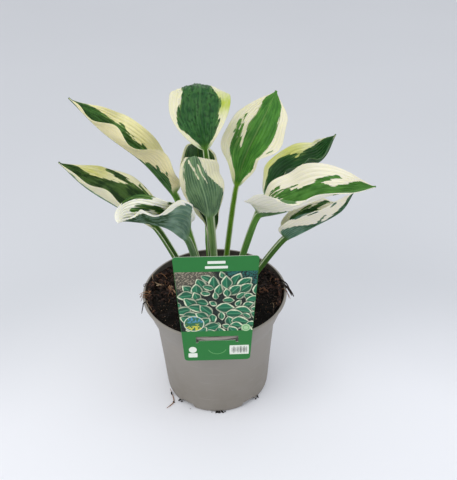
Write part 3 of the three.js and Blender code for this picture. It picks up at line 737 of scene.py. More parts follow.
# %% Strands over the rim
# Each is (1 - w)^2 start + 2 w (1 - w) middle + w^2 end, with a slight waver. Over the rim
# itself a strand lies on it and never in it.
STRAND_STEPS, STRAND_SIDES = 12, 5
RIM_INSIDE, RIM_OUTSIDE, ON_THE_RIM = 80.8, 86, 140.9
w = np.linspace(0, 1, STRAND_STEPS)[None, :, None]
start, bend, end = (np.array([strand[k] for strand in STRANDS], float)[:, None] for k in range(3))
paths = (1 - w) ** 2 * start + 2 * w * (1 - w) * bend + w ** 2 * end
shape = (len(STRANDS), 1, 3)
swing = chance.normal(0, 0.3, shape)
paths = paths + swing * np.sin(w * chance.uniform(4, 9, shape) + chance.uniform(0, 6, shape))
over = np.hypot(paths[..., 0], paths[..., 1])
on_rim = (over > RIM_INSIDE) & (over < RIM_OUTSIDE)
paths[..., 2] = np.where(on_rim, np.maximum(paths[..., 2], ON_THE_RIM), paths[..., 2])
points, faces = hairs(paths, [strand[3] for strand in STRANDS], sides=STRAND_SIDES)
tone = np.repeat([strand[4] for strand in STRANDS], STRAND_STEPS * STRAND_SIDES)
make_piece("rim_strands", points, faces, fibre_finish, knows={"tone": tone})

# %% [markdown]
# ### What has come out at the foot
# A thin root has grown out under the pot at the left and lies on the table, and crumbs of wet peat cling to
# the foot near the notches. The root is one more fibre and the crumbs are bark pieces, placed one by one: x,
# y, height and half length.

# %% Root and crumbs at the foot
root = np.array([[-60.5, -26, 5], [-58.5, -31, 2.6], [-57, -36, 1.4], [-55.8, -41, 1.1],
                 [-55.6, -45, 0.8], [-58, -48, 0.7], [-61, -51, 0.7], [-64, -54, 0.7]])[None]
points, faces = hairs(root, [0.65], sides=6)
make_piece("foot_root", points, faces, fibre_finish,
           knows={"tone": np.full(len(points), 0.8)})
CRUMBS_AT_FOOT = [
    (-58.6, -31.8, 1.6, 2.2), (-55.7, -45, 0.2, 1.6), (-48.2, -43.2, 1.0, 2.3), (-45.6, -45.4, 0.7, 1.4),
    (-3.0, -64.2, 0.3, 1.9), (0.3, -64.6, 0.3, 1.9), (3.8, -64.4, 0.4, 2.1), (7.0, -64.0, 0.5, 1.4),
    (-9, -63.8, 0.4, 0.9), (48.4, -42.9, 1.2, 2.1), (45.9, -45.2, 0.7, 1.3), (-35.1, -56.9, 0.1, 0.8),
]
x, y, base, size = np.array(CRUMBS_AT_FOOT).T
points, faces = bark_pieces(x, y, base, size, 0.7 * size, 0.9 * size, chance.uniform(0, 6, len(x)), chance)
points[:, 2] = np.maximum(points[:, 2], 0.05)
make_piece("foot_crumbs", points, faces, fibre_finish, smooth=False,
           knows={"tone": np.full(len(points), 0.04)})

# %% [markdown]
# ## The card
# A printed polypropylene card hangs on the rim by a slit. It is a flat tapered sheet, so its
# surface is one formula: a place across and up the card gives a point in space, a little
# turned and very slightly bowed. The card, its picture and each printed mark use the same
# formula with a different lift, so that the marks lie on it. The slit is left out of the
# card's grid of faces, and a Solidify modifier then gives the sheet its thickness, with the
# pale core of the plastic on every cut edge.

# %% The card's measures and surface
LABEL_TOP, LABEL_FOOT = 248.5, 107.5
LABEL_TOP_WIDTH, LABEL_FOOT_WIDTH = 88, 72
LABEL_CORNER, LABEL_THICKNESS = 4, 0.6
LABEL_FRONT_Y, LABEL_X, LABEL_TURN = -84.6, 0.6, math.radians(0.9)
LABEL_BOW = 0.3
SLIT_LENGTH, SLIT_FOOT, SLIT_TOP, SLIT_RELIEF = 46, 136.4, 142.4, 2.8
INNER_HALF = 26


def card_half_width(height):
    """Half the card's width at a height: it widens in a straight line from foot to top, and
    within a corner's radius r of either end it is less by r - sqrt(r^2 - (r - d)^2)."""
    share = (height - LABEL_FOOT) / (LABEL_TOP - LABEL_FOOT)
    width = (LABEL_FOOT_WIDTH + (LABEL_TOP_WIDTH - LABEL_FOOT_WIDTH) * share) / 2
    d = np.clip(np.minimum(height - LABEL_FOOT, LABEL_TOP - height), 0, LABEL_CORNER)
    return width - LABEL_CORNER + np.sqrt(LABEL_CORNER ** 2 - (LABEL_CORNER - d) ** 2)


def on_card(across, height, lift=0.0):
    """The point at that place across and up the card's front, lifted towards the viewer: the
    card is turned about the slit's foot, and bowed back by a hair at its sides, as x^2."""
    dx, dz = across, height - SLIT_FOOT
    x = LABEL_X + dx * math.cos(LABEL_TURN) + dz * math.sin(LABEL_TURN)
    z = SLIT_FOOT + dz * math.cos(LABEL_TURN) - dx * math.sin(LABEL_TURN)
    y = LABEL_FRONT_Y + LABEL_BOW * (across / (LABEL_TOP_WIDTH / 2)) ** 2 - lift
    return np.stack(np.broadcast_arrays(x, y, z), -1)


def steps_between(stops, step):
    """Even steps no longer than the given one between each pair of stops."""
    spans = [np.linspace(a, b, max(2, math.ceil((b - a) / step) + 1))[:-1]
             for a, b in zip(stops[:-1], stops[1:])]
    return np.concatenate([*spans, [stops[-1]]])


print("the card is", 2 * card_half_width(180.0).round(1), "mm wide at half its height")

# %% The card's grid, with the slit left out
# Across the middle the grid's lines are straight up and down, so that some of them are the
# slit's ends; outside it they spread to the slanting edges. Round the corners they are close.
half_slit = SLIT_LENGTH / 2
inner = steps_between([-INNER_HALF, -half_slit, -half_slit + SLIT_RELIEF,
                       half_slit - SLIT_RELIEF, half_slit, INNER_HALF], 3)
corner_rise = LABEL_CORNER * (1 - np.cos(np.linspace(0, math.pi / 2, 9)))
heights = np.concatenate([
    LABEL_FOOT + corner_rise,
    steps_between([LABEL_FOOT + LABEL_CORNER, SLIT_FOOT - SLIT_RELIEF, SLIT_FOOT, SLIT_TOP,
                   LABEL_TOP - LABEL_CORNER], 4)[1:],
    (LABEL_TOP - corner_rise)[-2::-1],
])
outer = np.linspace(0, 1, 6)[1:]
beside = card_half_width(heights)[:, None] - INNER_HALF
across = np.hstack([-INNER_HALF - beside * outer[::-1], np.repeat(inner[None], len(heights), 0),
                    INNER_HALF + beside * outer])
points = on_card(across, heights[:, None])
faces = grid_faces(*across.shape)
middle_x = across.ravel()[faces].mean(1)
middle_z = np.repeat(heights, across.shape[1])[faces].mean(1)
in_slot = (np.abs(middle_x) < half_slit) & (middle_z > SLIT_FOOT) & (middle_z < SLIT_TOP)
in_relief = (np.abs(np.abs(middle_x) - half_slit + SLIT_RELIEF / 2) < SLIT_RELIEF / 2) & (
    middle_z > SLIT_FOOT - SLIT_RELIEF) & (middle_z < SLIT_TOP)
print("card faces left out for the slit:", int((in_slot | in_relief).sum()))

# %% [markdown]
# ### Card finishes: printed polypropylene sheet
# The sheet is calendered smooth, so the print has a satin gloss with a slight ripple in the
# reflections. The leaf green is laid down as fine dots of ink and is a little uneven. Cut
# edges show the pale core.

# %% Card finishes
def printed_sheet(name, colour, spread=0.06, picture=False):
    """Ink on smooth polypropylene: a colour that wavers by the given share, or the colours
    that the piece's points carry, under a satin gloss."""
    finish, tree, shader = new_finish(name, Roughness=0.34, IOR=1.5, Specular_IOR_Level=0.3)
    place = add(tree, "TexCoord").outputs["Object"]
    ink = add(tree, "TexNoise", {"Vector": place, "Scale": cells_of(2.38), "Detail": 3}).outputs[0]
    wave = add(tree, "TexNoise", {"Vector": place, "Scale": cells_of(38.5), "Detail": 1}).outputs[0]
    shade = add(tree, "MapRange", {"Value": ink, "To Min": 1 - spread, "To Max": 1 + spread}).outputs[0]
    source = linear(colour)[:3]
    if picture:
        source = add(tree, "Attribute", attribute_name="ink").outputs["Color"]
    uneven = add(tree, "VectorMath", {0: source, "Scale": shade}, operation="SCALE").outputs[0]
    tree.links.new(uneven, shader.inputs["Base Color"])
    gloss = add(tree, "MapRange", {"Value": wave, "To Min": 0.3, "To Max": 0.42}).outputs[0]
    tree.links.new(gloss, shader.inputs["Roughness"])
    ripple = add(tree, "Bump", {"Height": wave, "Strength": 0.3, "Distance": 0.0006})
    tree.links.new(ripple.outputs[0], shader.inputs["Normal"])
    return finish


green_sheet = printed_sheet("printed_green_sheet", "#227634")
core = printed_sheet("cut_sheet_core", "#b9c4b4")
print("card finishes:", green_sheet.name, "and", core.name)

# %% The card itself
card = make_piece("label_card", points.reshape(-1, 3), faces[~(in_slot | in_relief)], green_sheet,
                  smooth=False)
card.data.materials.append(core)
thicken = card.modifiers.new("sheet_thickness", "SOLIDIFY")
thicken.thickness, thicken.offset, thicken.material_offset_rim = LABEL_THICKNESS * MM, -1, 1
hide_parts("plant_label")

# %% [markdown]
# ### Printed marks
# Ink has almost no thickness, but a mark painted in the card's material would need a mask
# for each shape. Each mark is a slab instead, a few hundredths of a millimetre thick, made
# by the card's own formula, so it follows the card and has a crisp edge.

# %% A slab on the card
def slab(across, height, lift, name, finish, smooth=False, ink=None):
    """A closed thin slab on the card: a grid of front points at the given lift, the same edge
    set back to the card, and one face behind."""
    front = on_card(across, height, lift)
    rows, columns = front.shape[:2]
    ids = np.arange(rows * columns).reshape(rows, columns)
    edge = np.concatenate([ids[0, :-1], ids[:-1, -1], ids[-1, :0:-1], ids[:0:-1, 0]])
    flat = front.reshape(-1, 3)
    back = flat[edge] + [0, lift - 0.01, 0]
    behind = rows * columns + np.arange(len(edge))
    walls = np.stack([edge, behind, np.roll(behind, -1), np.roll(edge, -1)], -1)
    faces = [*grid_faces(rows, columns), *walls, behind[::-1]]
    knows = None if ink is None else {"ink": np.vstack([ink.reshape(-1, 4), ink.reshape(-1, 4)[edge]])}
    return make_piece(name, np.vstack([flat, back]), faces, finish, smooth=smooth, knows=knows)


print("a lift of 0.05 mm takes the front to y =", on_card(0.0, 180.0, 0.05)[1].round(2))

# %% [markdown]
# ### The picture on the card
# The picture is a generic drawing of a leafy bed: pale-edged leaves in a loose fan on dark
# ground, with a round inset of small flowers. It is painted by formula on the points of a
# fine grid, back to front: for each leaf, a point's place along and across it says whether
# it is margin, green, rib or the shade that it casts on the leaves behind.

# %% The picture's grid and ground
PICTURE_FOOT, PICTURE_TOP, PICTURE_STEP, PICTURE_COLUMNS = 150.2, 229.8, 0.45, 190
PICTURE_EDGE = 0.35
heights = steps_between([PICTURE_FOOT, PICTURE_TOP], PICTURE_STEP)
share = np.linspace(-1, 1, PICTURE_COLUMNS)
height_grid = np.repeat(heights[:, None], len(share), 1)
across_grid = share[None] * (card_half_width(height_grid) - PICTURE_EDGE)


def paint(ink, mask, colour):
    """Lays a colour over the picture by a mask from 0 to 1."""
    return ink * (1 - mask[..., None]) + np.array(linear(colour)) * mask[..., None]


speckle = bumps(across_grid / 0.9 + 60, height_grid / 0.9, 31)
cloudy = bumps(across_grid / 7 + 60, height_grid / 7, 32)
ink = np.ones((*across_grid.shape, 4)) * np.array(linear("#0b1512"))
ink = paint(ink, smoothstep(0.5, 0.8, speckle) * 0.6, "#1b4438")
stones = smoothstep(205, 216, height_grid + 6 * cloudy) * smoothstep(2, -10, across_grid)
ink = paint(ink, stones * 0.9, "#545146")
ink = paint(ink, stones * smoothstep(0.5, 0.75, speckle) * 0.8, "#a39a85")
shrubs = smoothstep(208, 216, height_grid + 8 * cloudy) * smoothstep(4, 14, across_grid)
ink = paint(ink, shrubs * smoothstep(0.3, 0.7, speckle) * 0.9, "#1f6a62")
print("picture of", ink.shape[1], "by", ink.shape[0], "points")

# %% The picture's leaves
# The drawn leaves stand round a crown, each turned by the golden angle from the last, so
# that they spread evenly. A leaf is sin(pi u^0.85)^0.8 wide at a share u of its length.
DRAWN_LEAVES, GOLDEN_ANGLE = 64, 137.5
chance = np.random.default_rng(77)
crown = np.array([4.0, 182.0])
turns = np.radians(np.arange(DRAWN_LEAVES) * GOLDEN_ANGLE)
reaches = 5 + 44 * np.sqrt(np.arange(DRAWN_LEAVES) / DRAWN_LEAVES) * chance.uniform(0.9, 1.1, DRAWN_LEAVES)
order = np.argsort(-(crown[1] + reaches * np.sin(turns)))
for turn, away in zip(turns[order], reaches[order]):
    long = chance.uniform(9, 20)
    heading = turn + chance.normal(0, 0.6)
    from_x = across_grid - crown[0] - away * math.cos(turn)
    from_z = height_grid - crown[1] - 0.9 * away * math.sin(turn)
    u = (from_x * math.cos(heading) + from_z * math.sin(heading)) / long + 0.5
    w = from_z * math.cos(heading) - from_x * math.sin(heading)
    reach_across = 0.34 * long * np.sin(math.pi * np.clip(u, 0, 1) ** 0.85) ** 0.8
    inside = (np.abs(w) < reach_across) & (u > 0) & (u < 1)
    lengthwise = smoothstep(-0.1, 0.1, u) * smoothstep(1.1, 0.9, u)
    shade = smoothstep(2.6, 0.2, np.abs(w) - reach_across) * lengthwise
    ink = paint(ink, shade * 0.6, "#081410")
    margin = 0.35 + 0.045 * long + 0.5 * np.sin(9 * u + 5 * turn) + 0.5 * (speckle - 0.5)
    ribs = np.abs(w / np.maximum(reach_across, 0.01) * 4 % 1 - 0.5)
    ink = paint(ink, inside.astype(float), "#dbe3c4")
    heart = inside * smoothstep(0, 0.5, reach_across - np.abs(w) - margin)
    ink = paint(ink, heart, "#1a7450")
    ink = paint(ink, heart * smoothstep(0.25, 0.45, ribs) * 0.55, "#0c463a")
    ink = paint(ink, heart * smoothstep(0.7, 0.1, np.abs(w)) * 0.5, "#6fae86")
    ink = paint(ink, inside * smoothstep(0.5, -1.5, w) * 0.42, "#07251d")
print(DRAWN_LEAVES, "leaves drawn, from", reaches.min().round(), "to", reaches.max().round(), "mm out")

# %% The picture's inset, and the picture
oval = np.hypot((across_grid + 24.4) / 10.6, (height_grid - 160.9) / 10.4)
flowers = bumps(across_grid / 1.5 + 20, height_grid / 1.5, 41)
bed = smoothstep(0.96, 0.92, oval)
yellow = bed * smoothstep(0.5, 0.62, flowers) * smoothstep(162, 159, height_grid)
blue = bed * smoothstep(0.5, 0.65, flowers) * smoothstep(161, 164, height_grid)
ink = paint(ink, smoothstep(1.05, 1.0, oval), "#dfe6d2")
ink = paint(ink, bed, "#2c6b4c")
ink = paint(ink, yellow, "#c9c64a")
ink = paint(ink, blue, "#4f8fb4")
ink[..., 3] = 1
picture_finish = printed_sheet("printed_picture_sheet", "#ffffff", picture=True)
slab(across_grid, height_grid, 0.05, "label_picture", picture_finish, ink=ink)

# %% [markdown]
# ### Plain marks
# The head and the foot of the card carry plain marks: bars, discs, an arc and a striped
# panel. The inks are the same finish as the sheet, in four colours. A disc could be a fan
# of triangles, but a square grid drawn round has no pole, and suits the same slab function.

# %% Inks and the marks' shapes
white_ink = printed_sheet("white_ink", "#e6ece2", 0.03)
dark_ink = printed_sheet("dark_ink", "#262d28", 0.05)
pale_ink = printed_sheet("pale_green_ink", "#a9cfa0", 0.05)
faint_ink = printed_sheet("faint_green_ink", "#66a866", 0.04)


def plain_bar(left, right, foot, top, name, finish, lift=0.06):
    """A straight-sided mark whose ends bulge by 0.35 (1 - cos w), which softens its corners."""
    height = np.linspace(foot, top, 7)
    end = 0.35 * (1 - np.cos(np.linspace(-1.3, 1.3, 7))[:, None])
    across = np.hstack([left + end, np.full((7, 1), (left + right) / 2), right - end])
    return slab(across, height[:, None] + 0 * across, lift, name, finish)


def round_mark(middle, radius, name, finish, lift=0.06):
    """A disc made from a square grid, so that it has no seam: a point (u, v) of the square
    goes to (u sqrt(1 - v^2 / 2), v sqrt(1 - u^2 / 2)) times the radius."""
    u, v = np.meshgrid(np.linspace(-1, 1, 17), np.linspace(-1, 1, 17))
    across, height = u * np.sqrt(1 - v * v / 2), v * np.sqrt(1 - u * u / 2)
    return slab(middle[0] + radius * across, middle[1] + radius * height, lift, name, finish)


def arc_mark(middle, radius, width, start, sweep, name, finish, lift=0.06):
    """A narrow band along an arc: radii within half the width, over a sweep of angles."""
    turn = np.radians(start + np.linspace(0, sweep, 40))[None]
    r = radius + width * np.array([[0.5], [0], [-0.5]])
    return slab(middle[0] + r * np.cos(turn), middle[1] + r * np.sin(turn), lift, name, finish)


print("the inks:", ", ".join(ink.name for ink in (white_ink, dark_ink, pale_ink, faint_ink)))

# %% The marks
plain_bar(-8.6, 9.6, 239.6, 243.0, "label_title_bar_upper", white_ink)
plain_bar(-11.2, 12.0, 233.6, 236.8, "label_title_bar_lower", white_ink)
DISC_MIDDLE = (31.1, 154.0)
round_mark(DISC_MIDDLE, 4.9, "label_disc", pale_ink, lift=0.12)
round_mark(DISC_MIDDLE, 3.3, "label_disc_middle", faint_ink, lift=0.16)
round_mark(DISC_MIDDLE, 2.6, "label_disc_heart", pale_ink, lift=0.2)
arc_mark((0, 127.4), 10.6, 0.7, 205, 130, "label_arc", faint_ink)
round_mark((-26.8, 123.6), 4.3, "label_badge_round", white_ink)
plain_bar(-31.8, -21.8, 112.4, 118.6, "label_badge_foot", white_ink)
plain_bar(13.4, 34.7, 115.6, 128.8, "label_panel", white_ink)
STRIPES_BEGIN, STRIPES_END = 15.6, 32.8
chance = np.random.default_rng(3)
edges = STRIPES_BEGIN + np.cumsum(chance.uniform(0.35, 1.0, 34))
for k in range(0, 32, 2):
    if edges[k + 1] < STRIPES_END:
        plain_bar(edges[k], edges[k + 1], 117.4, 127.2, f"label_panel_stripe_{k // 2}", dark_ink, lift=0.1)

# %% [markdown]
# ## The leaves
# A hosta leaf is one sheet with its stalk: a channelled petiole that opens into a blade,
# folded along the midrib, waved at the margin and pressed into furrows by its curved veins.
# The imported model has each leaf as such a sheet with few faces. Here the same formula runs
# on a grid eight times finer, and the veins, puckers and the thin margin are added along
# the surface's own normal. One place on the sheet is v along it, 0 to 1 on the stalk and 1
# to 2 on the blade, and t across it, -1 at the left margin and 1 at the right.
#
# A leaf's root is where its stalk starts, in plan, and its rib is the points that the
# midrib passes through. The bearing is the compass direction of the leaf in plan. Half
# widths, broadest places, lobes, folds and curls come in pairs, for the two halves. A fold,
# a curl or a roll is given at the blade's base, middle and tip.

# %% The ten leaves' sizes, in millimetres and degrees
LEAVES = {
    "leaf_left_upper": {
        "root": [-6, 8], "rib": [[-41, 16, 263], [-70, 19, 302], [-111, 26, 336], [-145, 40, 369]],
        "bearing": 176, "half": [33, 29], "broadest": [0.47, 0.53], "roll": [30, -6, 2],
        "fold": [[59, 49, 40], [55, 52, 34]], "curl": [[9, 4, 8], [9, 10, 6]],
        "lobe": [3, 1], "wave": 7.0, "waves": 3.1, "phase": 0.54},
    "leaf_left_lower": {
        "root": [-14, -2], "rib": [[-65, -1, 233], [-98, -4, 260], [-130, -7, 288], [-155, -9, 320]],
        "bearing": 179, "half": [23, 38], "broadest": [0.45, 0.45], "roll": [-19, 6, -2],
        "fold": [[37, 37, 37], [51, 37, 39]], "curl": [[1, 8, 5], [13, 2, 4]],
        "lobe": [-2, 7], "wave": 2.5, "waves": 2.9, "phase": 0.9},
    "leaf_front_left": {
        "root": [-6, -15], "rib": [[-28, -42, 241], [-46, -54, 266], [-81, -73, 287], [-88, -96, 300]],
        "bearing": 214, "half": [34, 31], "broadest": [0.3, 0.42], "roll": [29, -27, 42],
        "fold": [[66, 67, 33], [69, 68, 7]], "curl": [[8, 8, 7], [8, 9, -13]],
        "lobe": [-26, 4], "wave": 5.5, "waves": 2.9, "phase": 0.63},
    "leaf_back_centre": {
        "root": [4, 4],
        "rib": [[-4, 17, 315], [-9, 36, 341], [-8, 59, 365], [-10, 86, 362], [-15, 105, 343]],
        "bearing": 83, "half": [33, 32], "broadest": [0.44, 0.44], "roll": [0, 1, 0],
        "fold": [[55, 0, -10], [55, -1, -10]], "curl": [[10, -15, -10], [10, -16, -10]],
        "lobe": [0, 4], "wave": 2.0, "waves": 2.8, "phase": 0.96},
    "leaf_front_centre": {
        "root": [3, -9],
        "rib": [[-3, -24, 256], [-6, -27, 281], [-13, -16, 303], [-16, 0, 316], [-18, 15, 300]],
        "bearing": 271, "half": [28, 20], "broadest": [0.52, 0.41], "roll": [-8, 9, -6],
        "fold": [[31, 18, 2], [38, 17, 11]], "curl": [[2, 8, -2], [5, -3, 1]],
        "lobe": [5, 4], "wave": 2.6, "waves": 2.9, "phase": 0.98},
    "leaf_back_right": {
        "root": [8, 14], "rib": [[28, 18, 269], [39, 39, 294], [59, 57, 328], [76, 76, 355]],
        "bearing": 66, "half": [32, 44], "broadest": [0.5, 0.5], "roll": [15, -7, 14],
        "fold": [[57, 20, 8], [50, 25, -3]], "curl": [[18, 24, -1], [16, 8, -6]],
        "lobe": [-2, 2], "wave": 4.0, "waves": 2.8, "phase": 0.03},
    "leaf_right_upper": {
        "root": [15, 6], "rib": [[61, 19, 253], [89, 49, 264], [126, 51, 281], [139, 44, 315]],
        "bearing": 17, "half": [33, 21], "broadest": [0.53, 0.53], "roll": [31, 8, 7],
        "fold": [[41, 16, 7], [48, 59, 55]], "curl": [[10, -5, -2], [8, 4, 0]],
        "lobe": [5, 7], "wave": 2.9, "waves": 3.1, "phase": 0.99},
    "leaf_right_front": {
        "root": [11, -13], "rib": [[52, -11, 249], [81, -35, 270], [118, -51, 295], [157, -77, 318]],
        "bearing": -4, "half": [41, 53], "broadest": [0.47, 0.47], "roll": [-23, -5, -3],
        "fold": [[50, 37, 18], [59, 40, 19]], "curl": [[8, 8, 6], [15, 0, 7]],
        "lobe": [9, 9], "wave": 5.9, "waves": 2.6, "phase": 0.98},
    "leaf_right_lower": {
        "root": [21, 1], "rib": [[82, -5, 213], [111, -11, 233], [140, -7, 248], [156, 6, 263]],
        "bearing": -8, "half": [27, 36], "broadest": [0.4, 0.4], "roll": [-1, 0, -24],
        "fold": [[61, 50, 8], [62, 48, 27]], "curl": [[13, 18, -1], [12, 7, 12]],
        "lobe": [7, 5], "wave": 1.3, "waves": 3.0, "phase": 0.01},
    "leaf_inner": {
        "root": [-2, 20], "rib": [[-6, 26, 194], [-7, 34, 239], [-12, 41, 284], [-14, 67, 302]],
        "bearing": 97, "half": [36, 27], "broadest": [0.54, 0.54], "roll": [21, 2, 8],
        "fold": [[66, 49, 34], [61, 48, 26]], "curl": [[8, 9, 3], [11, 0, -1]],
        "lobe": [-4, 0], "wave": 3.0, "waves": 3.1, "phase": 0.08},
}
ROOT_HEIGHT = 116
STALK_HALF_WIDTH, STALK_THICKNESS = (3.6, 4.6), (4.2, 3.2)
STALK_LEAN, STALK_RISE, STALK_TURN, STALK_FOLD, STALK_CURL = 0.9, 0.36, 0.08, 35, 10
TIP_HALF_WIDTH = 1.4
MARGIN_OFFSET, LOBE_PEAK = 0.27, 6
blades = [np.linalg.norm(np.diff(leaf["rib"], axis=0), axis=1).sum() for leaf in LEAVES.values()]
print(len(LEAVES), "leaves, longest blade", round(max(blades)), "mm")

# %% A leaf's centre line
def spine(leaf, v):
    """Up to v = 1 the stalk: a cubic curve (1-w)^3 a + 3w(1-w)^2 b + 3w^2(1-w) c + w^3 d. It
    leaves the root nearly straight towards the blade, a little more upright, and turns into
    the blade's own direction only near its end. Beyond it the midrib: through all its
    points, each stretch a cubic whose slope at a point is half the step between that
    point's neighbours."""
    v = np.asarray(v, float)
    rib = np.array(leaf["rib"], float)
    root = np.array([*leaf["root"], ROOT_HEIGHT], float)
    way = rib[0] - root
    length = np.linalg.norm(way)
    rise = unit(np.array([0, 0, 1 - STALK_LEAN]) + STALK_LEAN * way / length)
    a, b = root, root + rise * length * STALK_RISE
    c, d = rib[0] - unit(rib[1] - rib[0]) * length * STALK_TURN, rib[0]
    w = np.clip(v, 0, 1)[..., None]
    stalk = (1 - w) ** 3 * a + 3 * w * (1 - w) ** 2 * b + 3 * w * w * (1 - w) * c + w ** 3 * d
    padded = np.vstack([2 * rib[0] - rib[1], rib, 2 * rib[-1] - rib[-2]])
    place = np.clip(v - 1, 0, 1) * (len(rib) - 1)
    i = np.minimum(np.floor(place).astype(int), len(rib) - 2)
    w = (place - i)[..., None]
    p, q, r, s = padded[i], padded[i + 1], padded[i + 2], padded[i + 3]
    start, end = (r - p) / 2, (s - q) / 2
    blade = (2 * w ** 3 - 3 * w ** 2 + 1) * q + (w ** 3 - 2 * w ** 2 + w) * start \
        + (3 * w ** 2 - 2 * w ** 3) * r + (w ** 3 - w ** 2) * end
    return np.where(v[..., None] <= 1, stalk, blade)


print("the blade of leaf_back_centre begins at", spine(LEAVES["leaf_back_centre"], 1.0).round(), "mm")

# %% Numbers that change along a blade
def through3(three, s):
    """The parabola that takes three values at s = 0, a half and 1."""
    return three[0] * (1 - s) * (1 - 2 * s) + three[1] * 4 * s * (1 - s) + three[2] * s * (2 * s - 1)


def blade_outline(s, broadest):
    """The blade's half width as a share of its greatest: sin(pi s^k)^(0.75 + 0.4 s), where k
    puts the peak at the broadest place."""
    power = math.log(0.5) / np.log(broadest)
    return np.sin(math.pi * np.clip(s, 1e-6, 1 - 1e-6) ** power) ** (0.75 + 0.4 * s)


print("outline at five places:", blade_outline(np.linspace(0, 1, 5), 0.45).round(2))

# %% A leaf's upper face
def leaf_surface(leaf, v, t):
    """The point at v along the leaf and t across it. Each half of a cross-section is an arc:
    it leaves the midrib at the fold's angle and turns by the curl, so a point a share u out
    is half (sin(fold + curl u) - sin fold) / curl to the side and half (cos fold -
    cos(fold + curl u)) / curl up. The margin ripples as u^2 sin(2 pi (waves s + phase)), a
    little ahead on one half and behind on the other, the basal lobe is drawn back as
    6 s exp(1 - 6 s), and the whole section is rolled about the midrib."""
    v, t = np.broadcast_arrays(np.asarray(v, float)[:, None], np.asarray(t, float)[None, :])
    s, u, left = np.clip(v - 1, 0, 1), np.abs(t), t < 0
    sign = np.where(left, -1, 1)
    pick = lambda pair: np.where(left, pair[0], pair[1])
    line = v[:, 0]
    along = unit(spine(leaf, np.clip(line + 1e-4, 0, 2)) - spine(leaf, np.clip(line - 1e-4, 0, 2)))[:, None]
    bearing = math.radians(leaf["bearing"])
    across = np.array([math.sin(bearing), -math.cos(bearing), 0.0])
    across = unit(across - (along @ across)[..., None] * along)
    face = np.cross(across, along)
    roll = np.radians(through3(leaf["roll"], s))[..., None]
    up = face * np.cos(roll) + across * np.sin(roll)
    right = across * np.cos(roll) - face * np.sin(roll)
    outline = blade_outline(s, pick(leaf["broadest"]))
    stalk_half = STALK_HALF_WIDTH[0] + (STALK_HALF_WIDTH[1] - STALK_HALF_WIDTH[0]) * v
    blade_half = np.maximum(STALK_HALF_WIDTH[1] * (1 - s) ** 3 + pick(leaf["half"]) * outline, TIP_HALF_WIDTH)
    half = np.where(v > 1, blade_half, stalk_half)
    opened = np.clip(v, 0, 1)
    blend = lambda stalk, pair: np.radians(stalk + opened * (
        np.where(left, through3(pair[0], s), through3(pair[1], s)) - stalk))
    fold, curl = blend(STALK_FOLD, leaf["fold"]), blend(STALK_CURL, leaf["curl"]) + 1e-6
    angle = fold + curl * u
    out = half * (np.sin(angle) - np.sin(fold)) / curl
    rise = half * (np.cos(fold) - np.cos(angle)) / curl
    turns = leaf["waves"] * s + leaf["phase"] + MARGIN_OFFSET * sign
    ripple = np.where(v > 1, leaf["wave"] * u * u * outline * np.sin(2 * math.pi * turns), 0)
    back = pick(leaf["lobe"]) * u ** 1.5 * LOBE_PEAK * s * np.exp(1 - LOBE_PEAK * s)
    point = spine(leaf, line)[:, None] + right * (sign * (out - ripple * np.sin(angle)))[..., None] \
        + up * (rise + ripple * np.cos(angle))[..., None] - along * back[..., None]
    return point, half


point, half = leaf_surface(LEAVES["leaf_inner"], [0, 1, 1.5, 2], [-1, 0, 1])
print("half widths of leaf_inner at four places:", half[:, 0].round(1), "mm")

# %% [markdown]
# ### Furrows, puckers and thickness
# About eight veins run along each half of a blade, from the stalk to the tip. On the upper
# face each vein is a furrow with the leaf swelling between, and on the lower face it is a
# ridge. So both faces are moved together along the normal, by the same relief. The back
# leaf is older and is puckered between its veins too. The sheet is half a millimetre thick
# at the margin and has a keel under the midrib.

# %% Relief and thickness
VEINS = 8
FURROW_DEPTH, FURROW_LEVEL = 0.75, 0.6
SLOW_HILLS, SLOW_WIDTH = 1.3, 15
PUCKER_ACROSS, PUCKER_ALONG = 3.4, 4.6
BLADE_THICKNESS, MARGIN_THINNING = 0.65, 0.3
KEEL_HEIGHT, KEEL_WIDTH = 2.2, 2.2
STALK_EDGE = 0.8


def relief(leaf, s, t, half, length, pucker, seed):
    """How far the sheet is moved outwards, in mm: 0.75 (|sin(pi VEINS u)|^0.8 - 0.6) for the
    veins, fading out at the stalk and tip, plus slow hills 15 mm wide, plus puckers 4 mm
    wide where the leaf has them."""
    u = np.abs(t)
    fade = smoothstep(0.0, 0.12, s) * smoothstep(1.0, 0.85, s) * smoothstep(1.05, 0.7, u)
    furrows = FURROW_DEPTH * (np.abs(np.sin(math.pi * VEINS * u)) ** 0.8 - FURROW_LEVEL)
    furrows = furrows * np.minimum(half / 22, 1)
    x, y = t * half, s * length
    slow = SLOW_HILLS * (bumps(x / SLOW_WIDTH + 30, y / SLOW_WIDTH + 30, seed) - 0.5) * np.minimum(u * 3, 1)
    cells = bumps(x / PUCKER_ACROSS + 30, y / PUCKER_ALONG + 30, seed + 1) - 0.5
    return fade * (furrows + slow + pucker * cells * np.minimum(u * 5, 1))


def leaf_thickness(v, s, t, half):
    """Stalk: a stout middle that thins to its edges as (1 - |t|)^2. Blade: 0.65 mm, less
    towards the margin, plus a keel 2.2 (1 - s)^1.5 exp(-(x / 2.2)^2) under the midrib."""
    low, high = STALK_THICKNESS
    middle = np.where(v <= 1, low + (high - low) * v, STALK_EDGE + (high - STALK_EDGE) * (1 - s) ** 4)
    stalk = STALK_EDGE + (middle - STALK_EDGE) * (1 - np.abs(t)) ** 2
    keel = KEEL_HEIGHT * (1 - s) ** 1.5 * np.exp(-((t * half / KEEL_WIDTH) ** 2))
    blade = BLADE_THICKNESS - MARGIN_THINNING * np.abs(t) ** 6 + keel
    w = smoothstep(0.0, 0.1, s)
    return stalk * (1 - w) + blade * w


print("margin", BLADE_THICKNESS - MARGIN_THINNING, "mm thick, keel", BLADE_THICKNESS + KEEL_HEIGHT, "mm")

